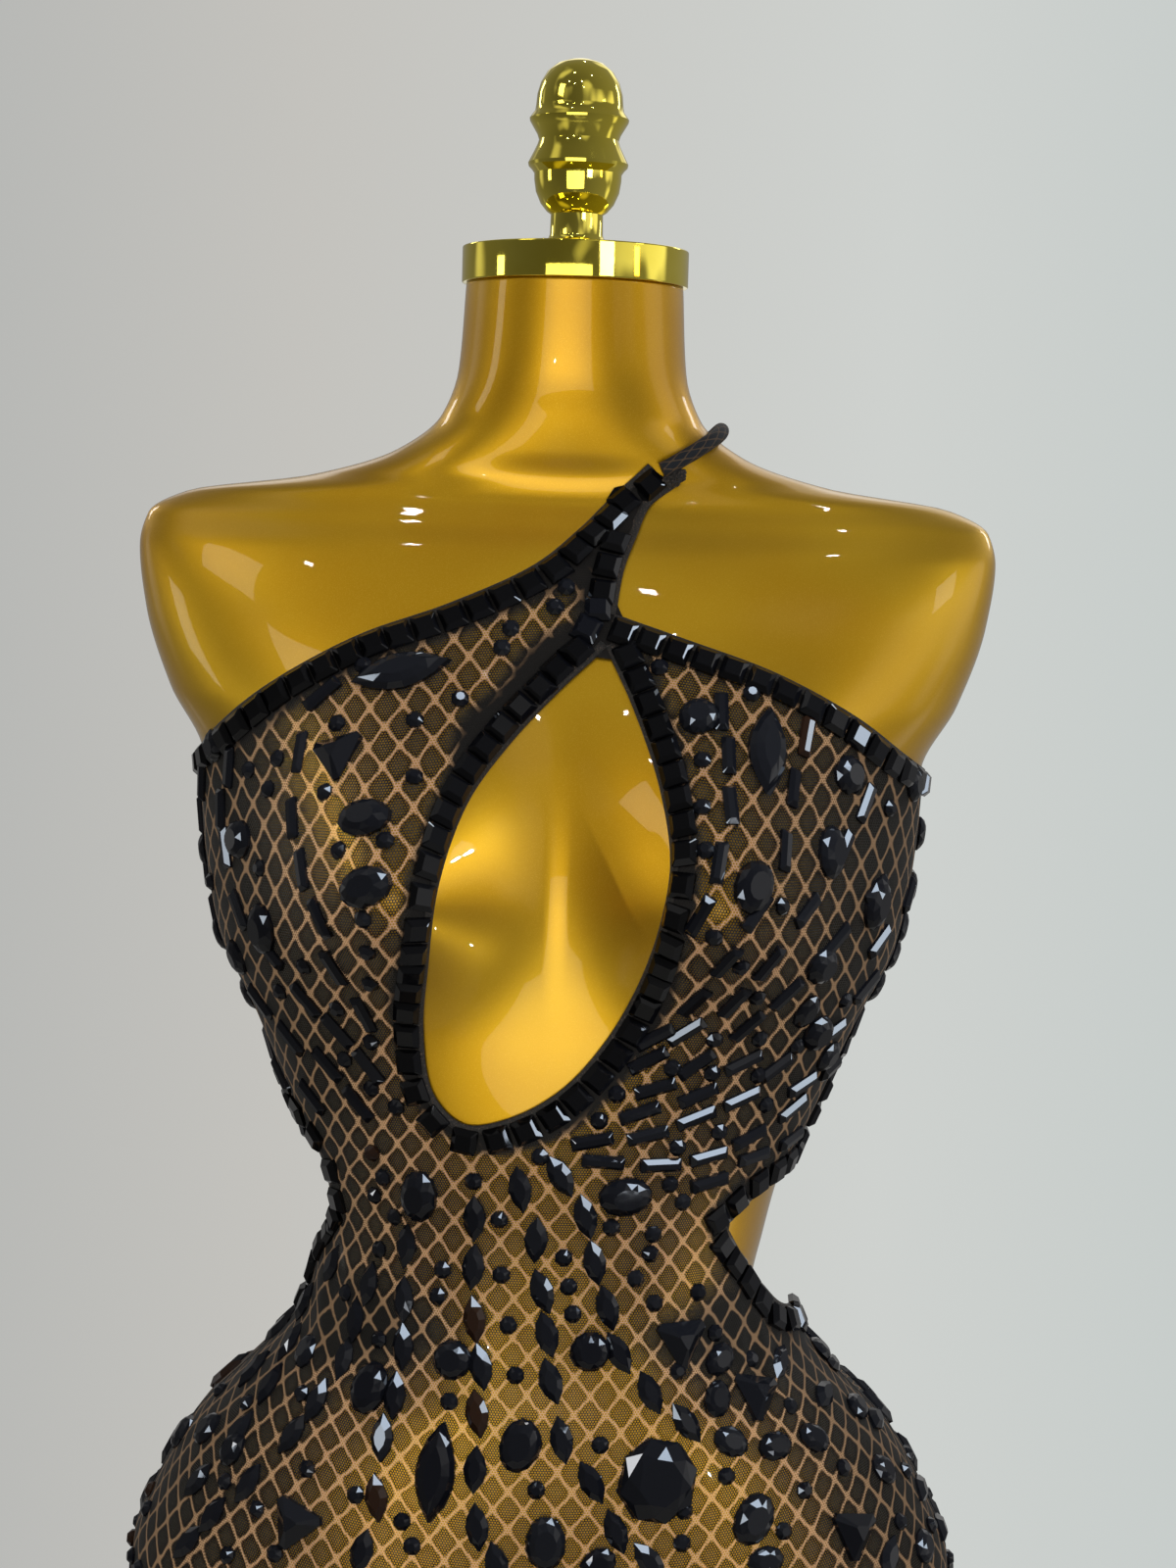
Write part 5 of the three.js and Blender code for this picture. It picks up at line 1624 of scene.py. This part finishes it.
def make_all_stones():
    """The squares along the edges, the stones in front in their places, and like ones on what is left of the
    skirt, the sides and the back, which thin out from the hips to the hem."""
    taken = []
    for name, side, start, stop in SQUARE_ROWS:
        turn, z, way = square_row(name, side, start, stop)
        sew_on("squares_" + name, "square", turn, z, way)
        taken.append(np.stack([turn, z], -1))
    by_kind = {}
    for kind, x, z, lean in LARGE_IN_FRONT:
        by_kind.setdefault(kind, []).append((float(GOWN.turn_at(x, z)), z, lean))
    for kind, x, z, lean in LARGE_BEHIND:
        by_kind.setdefault(kind, []).append((float(GOWN.turn_at(x, z, True)), z, -lean))
    for kind, rows in by_kind.items():
        turn, z, lean = np.array(rows, float).T
        sew_on("large_" + kind, kind, turn, z, lean_on_cloth(turn, z, lean))
        taken.append(np.stack([turn, z], -1))
    for kind, rows in SMALL_IN_FRONT.items():
        px, py, *leans = np.array(rows, float).T
        lean = leans[0] if leans else np.zeros(len(rows))
        turn, z = place_in_view(px, py)
        sew_on("front_" + kind, kind, turn, z, lean_in_view(turn, z, lean))
        taken.append(np.stack([turn, z], -1))
    taken = np.vstack(taken)
    for k, (kind, turns, heights, spacing, jitter, nearest) in enumerate(SPREADS):
        places = scattered(turns, heights, spacing, jitter, taken, nearest)
        turn, z = places.T
        in_view = (turn > SEEN_TURNS[0]) & (turn < SEEN_TURNS[1]) & (z > SEEN_ABOVE)
        places = places[on_panel(places) & ~in_view]
        turn, z = places.T
        if kind == "bar":
            lean = np.where(turn < 90, BAR_LEAN, -BAR_LEAN) + dice.uniform(-BAR_SWAY, BAR_SWAY, len(turn))
        else:
            lean = dice.uniform(-SWAY, SWAY, len(turn))
        sew_on(f"spread_{kind}_{k + 1}", kind, turn, z, lean_on_cloth(turn, z, lean))
        taken = np.vstack([taken, places])


# ---------------------------------------------------------------------------------------------------------
# The scene
# ---------------------------------------------------------------------------------------------------------


FLOOR_PROFILE = [(0, -8), (1250, -8), (1260, -4), (1250, 0), (0, 0)]
FLOOR_GAP = 0.0005  # metres under the foot


def make_floor():
    """A flat round floor, turned round the gown's axis."""
    floor = make_mesh("floor", *lathe(FLOOR_PROFILE, 96), pale_floor(), smooth=False)
    floor.data.transform(Matrix.Translation((0, 0, -FLOOR_GAP)))


bpy.context.scene.view_settings.view_transform = "Standard"
add_camera()
add_world()
make_floor()
form = make_form()
make_stand()
(front, front_area), (band, band_area), (skirt, skirt_area) = make_gown()
make_bindings()
make_side_seams()
make_cord()
make_thread_knot()
make_all_stones()
add_lights()
add_patch_lamps(form, front)
